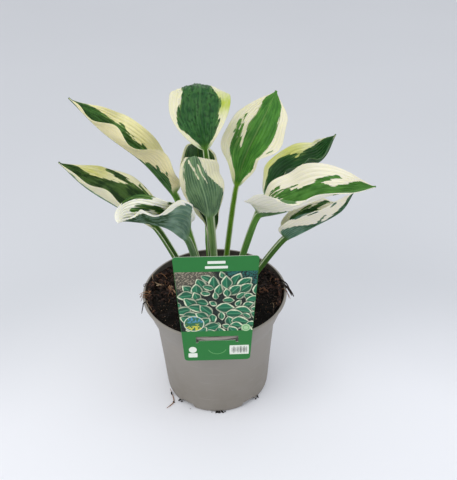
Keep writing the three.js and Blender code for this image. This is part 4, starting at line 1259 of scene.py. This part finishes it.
# %% [markdown]
# ### Where the leaf is green
# Each half of the blade has a green middle and a cream margin, and the line between them
# runs with the veins, so that it ends in fingers. For each leaf two rows say how far out
# the green reaches on either half, at eleven places from base to tip (below zero: that half
# has none). Single streaks and gaps are short lines with a width. All of it becomes one
# number on each point, its depth inside the green in millimetres, and the finish turns that
# into a crisp edge with fingers.

# %% How far the green reaches, as a share of the half width
EDGES = {
    "leaf_left_upper": ([.02, .4, .44, .12, -.1, -.15, -.15, -.15, -.1, .2, 1],
                        [.02, .36, .4, .1, .42, .45, .58, .62, .74, 1, 1]),
    "leaf_left_lower": ([.3, .2, .14, .12, .12, .12, .14, .16, .2, .4, 1],
                        [.5, .6, .93, .86, .68, .66, .58, .52, .68, .97, 1]),
    "leaf_front_left": ([.8, .9, .96, .84, .74, .9, .8, .4, .05, -.1, -.1],
                        [.42, .42, .85, .5, .25, .1, .06, 0, -.1, -.1, -.1]),
    "leaf_back_centre": ([.5, .62, .92, .76, .6, .58, .65, .85, 1.2, 1.2, 1.2],
                         [.35, .83, .82, .68, .72, .5, .45, .58, 1.1, 1.2, 1.2]),
    "leaf_front_centre": ([1, 1.1, 1.1, .95, .6, .4, .27, .2, .1, 0, 0],
                          [.9, .9, .9, .95, .84, .72, .72, .78, .6, .5, .5]),
    "leaf_back_right": ([.5, .38, .52, .56, .5, .38, .4, .37, .48, .85, 1],
                        [.5, .56, .82, .74, .7, .64, .66, .62, .64, .85, 1]),
    "leaf_right_upper": ([.9, .75, .75, .8, .76, .58, .74, .78, .82, 1, 1],
                         [.4, .6, .9, 1, 1, 1, 1, 1, 1, 1, 1]),
    "leaf_right_front": ([.4, .35, .3, .42, .42, .44, .46, .25, .4, .8, .9],
                         [.35, .12, .04, .0, -.05, -.05, -.05, 0, .8, .9, 1]),
    "leaf_right_lower": ([.65, .58, .28, .13, .03, .05, .2, .3, .4, .7, 1],
                         [.8, .8, .65, .25, .08, .06, .2, .3, .4, .7, 1]),
    "leaf_inner": ([.8, .55, .6, .7, .8, .86, .88, .88, .88, .88, .88],
                   [.9, .95, .95, .92, .9, .88, .88, .88, .88, .88, .88]),
}
print("green rows for", len(EDGES), "leaves")

# %% Streaks and gaps
# Each goes from (t, s) to (t, s) and has a half width in millimetres.
STREAKS = {
    "leaf_left_upper": [(0, .02, -.58, .2, 1.6), (-.1, .1, -.37, .27, 2.0), (-.05, .12, -.16, .31, 1.5),
                        (0, .1, 0, .36, 1.3), (.05, .12, .12, .31, 1.4), (.1, .1, .27, .26, 2.2),
                        (.05, .06, .46, .16, 1.8), (.3, .42, .5, .5, 1.2), (.42, .5, .66, .61, 1.4),
                        (.35, .36, .47, .42, 1.2)],
    "leaf_left_lower": [(.66, .28, .95, .57, 3.0), (.6, .4, .58, .58, 1.6), (.9, .18, .93, .3, 2.0),
                        (.75, .2, .8, .36, 2.2)],
    "leaf_front_left": [(.5, .45, .62, .5, 3.4), (.6, .5, .4, .64, 3.0), (.6, .52, .58, .62, 1.6),
                        (.97, .58, .97, .73, 4.0), (.82, .4, .98, .45, 1.2)],
    "leaf_front_centre": [(-.2, .48, -.565, .41, 1.0), (-.6, .24, -.81, .2, 1.2)],
    "leaf_back_right": [(-.45, .2, -.62, .5, 3.0), (-.42, .3, -.7, .58, 2.0), (-.4, .36, -.57, .56, 2.0),
                        (-.55, .56, -.69, .66, 1.1), (.83, .44, .87, .48, 1.4)],
    "leaf_right_upper": [(.75, .375, 1.0, .37, 5.5)],
    "leaf_right_front": [(-.3, .5, -.62, .73, 2.8), (-.2, .52, -.45, .62, 2.4), (-.72, .16, -.7, .27, 2.0),
                         (-.6, .17, -.62, .28, 1.6), (-.62, .28, -.56, .45, 1.0), (-.5, .2, -.52, .36, 2.2),
                         (-.42, .24, -.46, .42, 2.4), (.42, .44, .85, .52, 6.5)],
    "leaf_right_lower": [(-.62, .22, -.5, .42, 4.5), (-.5, .35, -.4, .47, 1.8), (-.72, .3, -.75, .42, 1.6),
                         (-.58, .4, -.78, .62, 2.6), (-.48, .62, -.78, .73, 1.4),
                         (-.1, .385, -.19, .485, 1.2), (.12, .4, .42, .49, 1.6), (.96, .31, 1.0, .4, 3.2),
                         (.84, .4, .93, .46, 1.6), (.84, .6, .88, .65, 2.0)],
}
GAPS = {
    "leaf_left_lower": [(.93, .2, .97, .3, 1.2)],
    "leaf_front_centre": [(-.28, .4, -.05, .62, .8), (.02, .46, .14, .56, .6), (.14, .56, .5, .7, 1.2)],
    "leaf_back_right": [(-.28, .4, -.44, .6, 1.2)],
    "leaf_right_upper": [(-.5, .46, -.75, .58, .9)],
}
print(sum(map(len, STREAKS.values())), "streaks,", sum(map(len, GAPS.values())), "gaps")

# %% Depth inside the green
NEAR_GAP_FREEDOM = 0.45


def line_depth(x, y, line, half, length):
    """The half width of a streak less the distance to its line, in mm."""
    size = np.array([half, length])
    start, end = line[:2] * size, line[2:4] * size
    way = end - start
    w = np.clip(((x - start[0]) * way[0] + (y - start[1]) * way[1]) / (way @ way), 0, 1)
    return line[4] - np.hypot(x - start[0] - w * way[0], y - start[1] - w * way[1])


def green_depth(name, s, t, length):
    """Depth inside the green in mm: the reach of the green at s less |t|, times the blade's
    half width, joined with each streak and then cut by each gap. With it, how freely the
    green's edge wanders: 1, and 0.45 near a gap, so that thin gaps stay whole."""
    sizes = LEAVES[name]["half"]
    half = np.where(t < 0, sizes[0], sizes[1])
    left, right = (np.interp(s, np.linspace(0, 1, len(row)), row) for row in EDGES[name])
    depth = (np.where(t < 0, left, right) - np.abs(t)) * half
    for streak in STREAKS.get(name, []):
        depth = np.maximum(depth, line_depth(t * half, s * length, streak, sizes[streak[0] > 0], length))
    freedom = np.ones_like(depth)
    for gap in GAPS.get(name, []):
        inside = line_depth(t * half, s * length, gap, sizes[gap[0] > 0], length)
        depth = np.minimum(depth, -inside)
        away = smoothstep(-1.0, -4.0, inside)
        freedom = np.minimum(freedom, NEAR_GAP_FREEDOM + (1 - NEAR_GAP_FREEDOM) * away)
    return depth, freedom


s_row, t_row = np.full(5, 0.5), np.linspace(-1, 1, 5)
print("depths across the middle of leaf_back_centre:",
      green_depth("leaf_back_centre", s_row, t_row, 120)[0].round(1), "mm")

# %% [markdown]
# ### Leaf finish: a waxy living leaf
# The blade is a thin, slightly see-through sheet with a satin wax bloom. Its upper face is deep green,
# brighter where it is young; the lower face is paler and grey green, because the wax there is thick, and
# where the wax has worn off the dark green shows. The margin is cream, with yellow where it is young. Between
# them lie streaks of middle green. Veins are fine lines 2 to 5 mm apart with much finer ones between, and on
# a puckered leaf painted shade darkens the hollows and painted highlight lightens the tops between them. A
# painted picture could give all this, but formulas stay crisp at any distance.
# They follow the leaf's own map, where one way is across and the other along, so that
# every streak runs with the veins.

# %% Helpers for patterns and layers of colour
SOFT = {"interpolation_type": "SMOOTHSTEP"}


def vein_noise(tree, leaf_map, sheet, width, reach, detail=2, shift=0.0):
    """Noise around a half, drawn out along the veins: cells of that width and reach in mm. The
    map's two numbers span the sheet's width and length in mm. Each shift is another noise."""
    place = add(tree, "Mapping", {"Vector": leaf_map, "Location": (shift, shift, 0),
                                  "Scale": (sheet[0] / width, sheet[1] / reach, 1)}).outputs[0]
    return add(tree, "TexNoise", {"Vector": place, "Scale": 1, "Detail": detail},
               noise_dimensions="2D").outputs[0]


def layered(tree, base, layers):
    """A colour with others laid over it: each layer has a mask, a strength and a colour, and
    takes the place of mask times strength of what lies under it."""
    for mask, strength, colour in layers:
        share = add(tree, "Math", {0: mask, 1: strength}, operation="MULTIPLY").outputs[0]
        base = add(tree, "Mix", {0: share, 6: base, 7: colour}, data_type="RGBA").outputs[2]
    return base


widest = max(sum(leaf["half"]) for leaf in LEAVES.values())
print("cells of 2.2 mm across the widest blade:", round(widest / 2.2))

# %% [markdown]
# ### Where the green ends, and the veins
# The depth that each point carries would give the green a smooth edge. Noise in long
# fingers and a short fringe moves that edge by a few millimetres. The veins are where the
# place across the leaf, times the number of veins, is whole: there a furrow lies above and
# a wider ridge below. In these functions told holds the numbers that a point carries, and
# noise(width, reach) makes a vein noise on this leaf.

# %% The green's edge and the veins
LONG_FINGERS, SHORT_FRINGE = 5.5, 3.0


def wandered(tree, told, noise):
    """The depth inside the green in mm once its edge has wandered: depth + freedom
    (5.5 (n - 1/2) + 3 (m - 1/2)), with n noise in long fingers and m a short fringe."""
    still = -(LONG_FINGERS + SHORT_FRINGE) / 2
    way = add(tree, "Math", {0: noise(2.2, 24), 1: LONG_FINGERS, 2: still},
              operation="MULTIPLY_ADD").outputs[0]
    way = add(tree, "Math", {0: noise(0.9, 7, shift=3.7), 1: SHORT_FRINGE, 2: way},
              operation="MULTIPLY_ADD").outputs[0]
    return add(tree, "Math", {0: way, 1: told["freedom"], 2: told["depth"]},
               operation="MULTIPLY_ADD").outputs[0]


def vein_masks(tree, leaf_map, half, noise):
    """Masks for the furrows above, the ridges below, the midrib and the fine veins. The share u
    out from the midrib is |2 x - 1|, and a point's distance from a vein swings with u
    times the number of veins, 0 on a vein and a half between two."""
    x = add(tree, "SeparateXYZ", {0: leaf_map}).outputs["X"]
    u = add(tree, "Math", {0: x, 1: 2.0, 2: -1.0}, operation="MULTIPLY_ADD").outputs[0]
    u = add(tree, "Math", {0: u}, operation="ABSOLUTE").outputs[0]
    spaced = add(tree, "Math", {0: u, 1: VEINS}, operation="MULTIPLY").outputs[0]
    swing = add(tree, "Math", {0: spaced, 1: 0.5}, operation="PINGPONG").outputs[0]
    away = add(tree, "Math", {0: u, 1: half}, operation="MULTIPLY").outputs[0]
    lines = noise(0.55, 30, detail=1, shift=5.3)
    masks = {"furrow": (swing, 0.09, 0.0), "ridge": (swing, 0.13, 0.02),
             "midrib": (away, 1.5, 0.5), "fine": (lines, 0.35, 0.65)}
    return {key: add(tree, "MapRange", {"Value": value, "From Min": low, "From Max": high},
                     **SOFT).outputs[0] for key, (value, low, high) in masks.items()}


print(VEINS, "veins on each half; the edge moves by at most", (LONG_FINGERS + SHORT_FRINGE) / 2, "mm")

# %% [markdown]
# ### The two faces' colours
# Both faces are built as a painter would: a ground, then thinner layers over it. Above, the green has lighter
# blotches, middle green strokes where it is shallow, painted shade in the hollows between the puckers and
# painted highlight on their tops, and veins; the cream has its yellow and faint lines; and the green lies
# over the cream wherever its depth is above zero. Below, wax bloom takes the green's place, and the plain
# green shows again where the wax has worn.

# %% The upper face
# The first is a painted shade green for the hollows of a puckered leaf.
PAINTED_PIT_SHADE, FINE_VEIN, CREAM_VEIN = "#0c3512", "#10240f", "#9fae78"


def upper_face(tree, colours, told, noise, veins, moved, green_mask, blotch, puckered):
    """Layers of green, layers of cream, then the green over the cream and the midrib on top."""
    blotches = add(tree, "MapRange", {"Value": blotch, "From Min": 0.35, "From Max": 0.65}, **SOFT).outputs[0]
    shallow = add(tree, "MapRange", {"Value": moved, "From Min": 5.0, "From Max": 0.5}, **SOFT).outputs[0]
    strokes = add(tree, "MapRange", {"Value": noise(1.6, 16, shift=9.1), "From Min": 0.5,
                                     "From Max": 0.58}, **SOFT).outputs[0]
    strokes = add(tree, "Math", {0: shallow, 1: strokes}, operation="MULTIPLY").outputs[0]
    greens = [(blotches, 1, linear(colours["light_green"])), (strokes, 0.75, linear(colours["streak"]))]
    if puckered:
        # Painted shade darkens the hollows between the puckers, and painted highlight lightens their tops.
        deeper = add(tree, "MapRange", {"Value": blotch, "From Min": 0.35, "From Max": 0.65,
                                        "To Min": 0.05, "To Max": -0.05}, **SOFT).outputs[0]
        pucker_light_and_shade = add(tree, "Math", {0: noise(3.4, 5.2, shift=4.4), 1: deeper}).outputs[0]
        high = add(tree, "MapRange", {"Value": pucker_light_and_shade, "From Min": 0.54, "From Max": 0.64}, **SOFT).outputs[0]
        low = add(tree, "MapRange", {"Value": pucker_light_and_shade, "From Min": 0.44, "From Max": 0.34}, **SOFT).outputs[0]
        greens += [(high, 0.6, linear(colours["light_green"])), (low, 0.8, linear(PAINTED_PIT_SHADE))]
    greens += [(veins["furrow"], 0.4, linear(colours["light_green"])),
               (veins["fine"], 0.14, linear(FINE_VEIN))]
    green = layered(tree, linear(colours["green"]), greens)

    young = add(tree, "MapRange", {"Value": blotch, "From Min": 0.3, "From Max": 0.6, "To Min": 0.5},
                **SOFT).outputs[0]
    young = add(tree, "Math", {0: told["blush"], 1: young}, operation="MULTIPLY").outputs[0]
    lines = add(tree, "Math", {0: veins["furrow"], 1: veins["fine"]}, operation="MAXIMUM").outputs[0]
    cream = layered(tree, linear(colours["cream"]),
                    [(young, 1, linear(colours["yellow"])), (lines, 0.2, linear(CREAM_VEIN))])
    return layered(tree, cream, [(green_mask, 1, green), (veins["midrib"], 0.5, linear(colours["midrib"]))])


print("green light from a pit:", round(linear(PAINTED_PIT_SHADE)[1], 3), "and from a fine vein:",
      round(linear(FINE_VEIN)[1], 3))

# %% The lower face and the stalk
UNDER_LINE, PALE_RIDGE = "#27402c", "#b4bf9a"


def lower_face(tree, colours, told, noise, veins, green_mask, blotch):
    """The pale margin's ground, and over it, within the green's edge, the bloom: its blotches,
    its ridges, the plain green where the wax has worn, and fine lines."""
    blotches = add(tree, "MapRange", {"Value": blotch, "From Min": 0.35, "From Max": 0.7}, **SOFT).outputs[0]
    bare = add(tree, "Math", {0: 1.0, 1: told["waxy"]}, operation="SUBTRACT").outputs[0]
    rubbed = add(tree, "MapRange", {"Value": noise(2.6, 7, shift=8.3), "From Min": 0.45, "From Max": 0.56,
                                    "To Min": 0.45}, **SOFT).outputs[0]
    worn = add(tree, "Math", {0: bare, 1: rubbed}, operation="MULTIPLY").outputs[0]
    bloom = layered(tree, linear(colours["under"]), [
        (blotches, 1, linear(colours["under_light"])), (veins["ridge"], 0.45, linear(colours["under_vein"])),
        (worn, 1, linear(colours["green"])), (veins["fine"], 0.12, linear(UNDER_LINE))])
    pale = layered(tree, linear(colours["under_cream"]), [(veins["ridge"], 0.3, linear(PALE_RIDGE))])
    return layered(tree, pale, [(green_mask, 1, bloom)])


def stalk_colour(tree, colours, told, noise):
    """Green with lighter lines 1.2 mm wide, and a pale edge on either side of the channel."""
    lines = add(tree, "MapRange", {"Value": noise(1.2, 40, shift=7.7), "From Min": 0.35,
                                   "From Max": 0.7}, **SOFT).outputs[0]
    return layered(tree, linear(colours["stalk"]), [(lines, 1, linear(colours["stalk_light"])),
                                                    (told["edge"], 1, linear(colours["stalk_edge"]))])


print("green light from a ridge of the pale margin:", round(linear(PALE_RIDGE)[1], 3))

# %% [markdown]
# ### Gloss and light through the leaf
# The wax makes the gloss patchy and weak, weaker below than above. Light goes a little way
# through the blade, further for red and green than for blue, which a small subsurface
# radius gives. Furrows sink and fine veins rise in a bump too shallow for the mesh.

# %% The leaf finish
TOLD = ("depth", "under", "stalk", "blush", "edge", "freedom", "waxy")


def leaf_finish(name, colours, half, length, pucker):
    """One leaf's material, from its colours, its half width and length in mm, and how high its puckers are:
    where they are over a millimetre, painted shade darkens the hollows and painted highlight lightens the
    tops as well."""
    finish, tree, shader = new_finish(
        "living_leaf_" + name, IOR=1.42, Subsurface_Weight=0.4, Subsurface_Scale=0.0008,
        Subsurface_Radius=(1.0, 1.0, 0.4), Specular_IOR_Level=0.3)
    leaf_map = add(tree, "UVMap", uv_map="UVMap").outputs[0]
    told = {key: add(tree, "Attribute", attribute_name=key).outputs["Fac"] for key in TOLD}
    noise = partial(vein_noise, tree, leaf_map, (2 * half, 2 * length))
    veins = vein_masks(tree, leaf_map, half, noise)
    moved, blotch = wandered(tree, told, noise), noise(7, 16, detail=3, shift=1.3)
    green_mask = add(tree, "MapRange", {"Value": moved, "From Min": -0.25, "From Max": 0.25},
                     **SOFT).outputs[0]
    upper = upper_face(tree, colours, told, noise, veins, moved, green_mask, blotch, pucker > 1)
    lower = lower_face(tree, colours, told, noise, veins, green_mask, blotch)
    stalk = stalk_colour(tree, colours, told, noise)
    colour = layered(tree, upper, [(told["under"], 1, lower), (told["stalk"], 1, stalk)])
    tree.links.new(colour, shader.inputs["Base Color"])

    patches = add(tree, "MapRange", {"Value": noise(3, 9, detail=4, shift=2.2), "From Min": 0.3,
                                     "From Max": 0.7, "To Max": 0.12}, **SOFT).outputs[0]
    wax = add(tree, "MapRange", {"Value": told["under"], "To Min": 0.38, "To Max": 0.55}, **SOFT).outputs[0]
    wax = add(tree, "Math", {0: patches, 1: wax}).outputs[0]
    tree.links.new(wax, shader.inputs["Roughness"])
    height = add(tree, "Math", {0: veins["furrow"], 1: -0.6}, operation="MULTIPLY").outputs[0]
    height = add(tree, "Math", {0: veins["fine"], 1: 0.35, 2: height}, operation="MULTIPLY_ADD").outputs[0]
    height = add(tree, "Math", {0: noise(1.3, 2.2, shift=6.1), 1: 0.5, 2: height},
                 operation="MULTIPLY_ADD").outputs[0]
    bump = add(tree, "Bump", {"Height": height, "Strength": 0.45, "Distance": 0.0004})
    tree.links.new(bump.outputs[0], shader.inputs["Normal"])
    return finish


print("each point tells the finish its", ", ".join(TOLD))

# %% [markdown]
# ### Each leaf's own colours
# A leaf's age and the side that it turns to the light change its greens, so each leaf has
# its own values where they differ from the common ones. Yellow lies on one half of some
# margins, around a place along them. The wax wears off the underside further out on two.

# %% The common colours
BASE_COLOURS = {
    "green": "#2b5220", "light_green": "#3f6e2c", "streak": "#7c9a52", "midrib": "#84a35f",
    "cream": "#eeeaca", "yellow": "#dfd98a",
    "under": "#55775a", "under_light": "#708f72", "under_vein": "#95ad8c", "under_cream": "#e6e2c6",
    "stalk": "#4c7a2c", "stalk_light": "#74a045", "stalk_edge": "#c3d0ae",
}
print(len(BASE_COLOURS), "common colours")

# %% What differs from leaf to leaf
LEAF_COLOURS = {
    "leaf_left_upper": {
        "green": "#254c19", "light_green": "#417030", "cream": "#efe8bd", "yellow": "#e6e0b0",
        "under": "#325a2c", "under_light": "#47703a", "under_cream": "#f1e7bd"},
    "leaf_left_lower": {
        "green": "#183a0e", "light_green": "#48692e", "yellow": "#e2e08c", "stalk": "#36571f",
        "stalk_light": "#5c8238"},
    "leaf_front_left": {
        "green": "#1c3f17", "cream": "#faf8ee", "under": "#5a7a66", "under_light": "#84a08c",
        "under_cream": "#f2f0e2", "stalk": "#53754a", "stalk_light": "#7c9a6c"},
    "leaf_back_centre": {
        "green": "#1a4f22", "light_green": "#35682f", "yellow": "#b4c446", "cream": "#e6e2c6",
        "midrib": "#46773f"},
    "leaf_front_centre": {
        "green": "#2a5a1c", "under": "#48684a", "under_light": "#6a8a62", "under_vein": "#a4bc92",
        "under_cream": "#d6d3b8", "stalk": "#557a40", "stalk_light": "#85a462"},
    "leaf_back_right": {
        "green": "#397427", "light_green": "#528f35", "cream": "#f0ead2", "yellow": "#e8e7b4",
        "stalk": "#639a24", "stalk_light": "#97c248"},
    "leaf_right_upper": {
        "green": "#1c4e1d", "light_green": "#2c622b", "yellow": "#eff088", "cream": "#fbf8dd",
        "under": "#264c29", "under_light": "#38653a"},
    "leaf_right_front": {
        "green": "#3a7024", "light_green": "#528a38", "cream": "#f3eddd", "yellow": "#e6e6b4",
        "streak": "#2c5a1e", "under": "#4a6c40", "under_light": "#64865a", "under_cream": "#f2eee0",
        "stalk": "#416f2a", "stalk_light": "#6a9a46"},
    "leaf_right_lower": {
        "green": "#1d4a1d", "light_green": "#2c5a26", "cream": "#f4eedc", "under": "#48705a",
        "under_light": "#6a8f7a", "under_cream": "#ece6d4", "stalk": "#2e5019", "stalk_light": "#527a30"},
    "leaf_inner": {
        "green": "#1b4014", "light_green": "#2e5c22", "under": "#4c8a26", "under_light": "#6aa336",
        "under_vein": "#9cc06a"},
}
print("leaves with their own colours:", len(LEAF_COLOURS))

# %% Yellow margins, worn wax and puckers
# Where along each half the margin turns yellow: the side, the place and the spread in s.
BLUSHES = {
    "leaf_left_upper": (1, 0.55, 0.3), "leaf_left_lower": (1, 0.7, 0.16), "leaf_back_centre": (1, 0.4, 0.1),
    "leaf_back_right": (-1, 0.1, 0.12), "leaf_right_upper": (-1, 0.38, 0.26),
}
# How far along the underside the wax is thick; beyond it the plain dark green shows.
THIN_WAX = {"leaf_front_left": 0.32, "leaf_right_lower": 0.2}
# How high the puckers are, in mm.
PUCKERS = {"leaf_back_centre": 2.6, "leaf_left_upper": 0.6, "leaf_left_lower": 0.5}
print(len(BLUSHES), "yellow margins,", len(THIN_WAX), "worn undersides,", len(PUCKERS), "puckered leaves")

# %% [markdown]
# ### Growing the ten leaves
# A Solidify modifier could thicken a sheet, but not by a formula that changes from stalk to
# margin. So each leaf has two grids of points, the upper face and the lower one set back
# along the normal, and rows of faces that close them all round. The grid is the same for
# all leaves, which lets one list of faces serve ten times.

# %% The sheet's grid and faces
STALK_STEPS, BLADE_STEPS, HALF_COLUMNS = 20, 84, 48
v = np.concatenate([np.arange(STALK_STEPS) / STALK_STEPS, 1 + np.arange(BLADE_STEPS + 1) / BLADE_STEPS])
t = np.linspace(-1, 1, 2 * HALF_COLUMNS + 1)
rows, columns = len(v), len(t)
above, below = np.arange(2 * rows * columns).reshape(2, rows, columns)
leaf_faces = np.vstack([
    grid_faces(rows, columns),
    grid_faces(rows, columns, start=rows * columns)[:, [0, 3, 2, 1]],
    np.stack([above[:-1, 0], above[1:, 0], below[1:, 0], below[:-1, 0]], -1),
    np.stack([above[:-1, -1], below[:-1, -1], below[1:, -1], above[1:, -1]], -1),
    np.stack([above[0, :-1], below[0, :-1], below[0, 1:], above[0, 1:]], -1),
    np.stack([above[-1, :-1], above[-1, 1:], below[-1, 1:], below[-1, :-1]], -1),
])
s_grid, t_grid = np.broadcast_arrays(np.clip(v - 1, 0, 1)[:, None], t[None])
v_grid = np.broadcast_to(v[:, None], s_grid.shape)
print("one leaf:", 2 * rows * columns, "points,", len(leaf_faces), "faces")

# %% What the points of a leaf know
def leaf_knowledge(name, length):
    """What the finish reads at each point: the depth inside the green and its freedom, how
    thick the wax is, how far the point is on the stalk or at its edge, and the yellow blush
    exp(-((s - place) / spread)^2) on one half."""
    depth, freedom = green_depth(name, s_grid, t_grid, length)
    side, place, spread = BLUSHES.get(name, (0, 0.5, 0.2))
    fields = {
        "depth": depth, "freedom": freedom,
        "waxy": 1 - smoothstep(0, 0.1, s_grid - THIN_WAX.get(name, 2.0)),
        "blush": np.exp(-(((s_grid - place) / spread) ** 2)) * (np.sign(t_grid) == side),
        "stalk": smoothstep(0.07, 0.0, s_grid) * (v_grid < 1.2),
        "edge": smoothstep(0.72, 0.9, np.abs(t_grid)),
    }
    knows = {key: np.tile(np.ravel(field), 2) for key, field in fields.items()}
    return {**knows, "under": np.repeat([0, 1], rows * columns)}


print("known at each point:", ", ".join(leaf_knowledge("leaf_inner", 100.0)))

# %% The ten leaves
leaf_uv = np.stack([np.tile(((t_grid + 1) / 2).ravel(), 2), np.tile((v_grid / 2).ravel(), 2)], -1)
for seed, (name, leaf) in enumerate(LEAVES.items()):
    upper, half = leaf_surface(leaf, v, t)
    length = float(np.linalg.norm(np.diff(spine(leaf, v[STALK_STEPS:]), axis=0), axis=1).sum())
    normal = unit(np.cross(np.gradient(upper, axis=1), np.gradient(upper, axis=0)))
    pucker = PUCKERS.get(name, 0.0)
    upper = upper + normal * relief(leaf, s_grid, t_grid, half, length, pucker, 100 + seed)[..., None]
    lower = upper - normal * leaf_thickness(v_grid, s_grid, t_grid, half)[..., None]
    colours = {**BASE_COLOURS, **LEAF_COLOURS.get(name, {})}
    finish = leaf_finish(name, colours, sum(leaf["half"]) / 2, length, pucker)
    piece = make_piece(name + "_sheet", np.concatenate([upper.reshape(-1, 3), lower.reshape(-1, 3)]),
                       leaf_faces, finish, uv=leaf_uv, knows=leaf_knowledge(name, length))
    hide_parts(name)

# %% [markdown]
# ## Sizes
# The boxes of the dressed model and of the imported one are both printed, in millimetres.
# The dressed model has to stay within the imported one's box.

# %% Both boxes, and the end
low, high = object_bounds()
sizes = {"cad": [list(cad_low), list(cad_high)], "visual": [list(low), list(high)]}
for name, (a, b) in sizes.items():
    print(name, "box in mm", [round(x / MM, 1) for x in a], [round(x / MM, 1) for x in b])
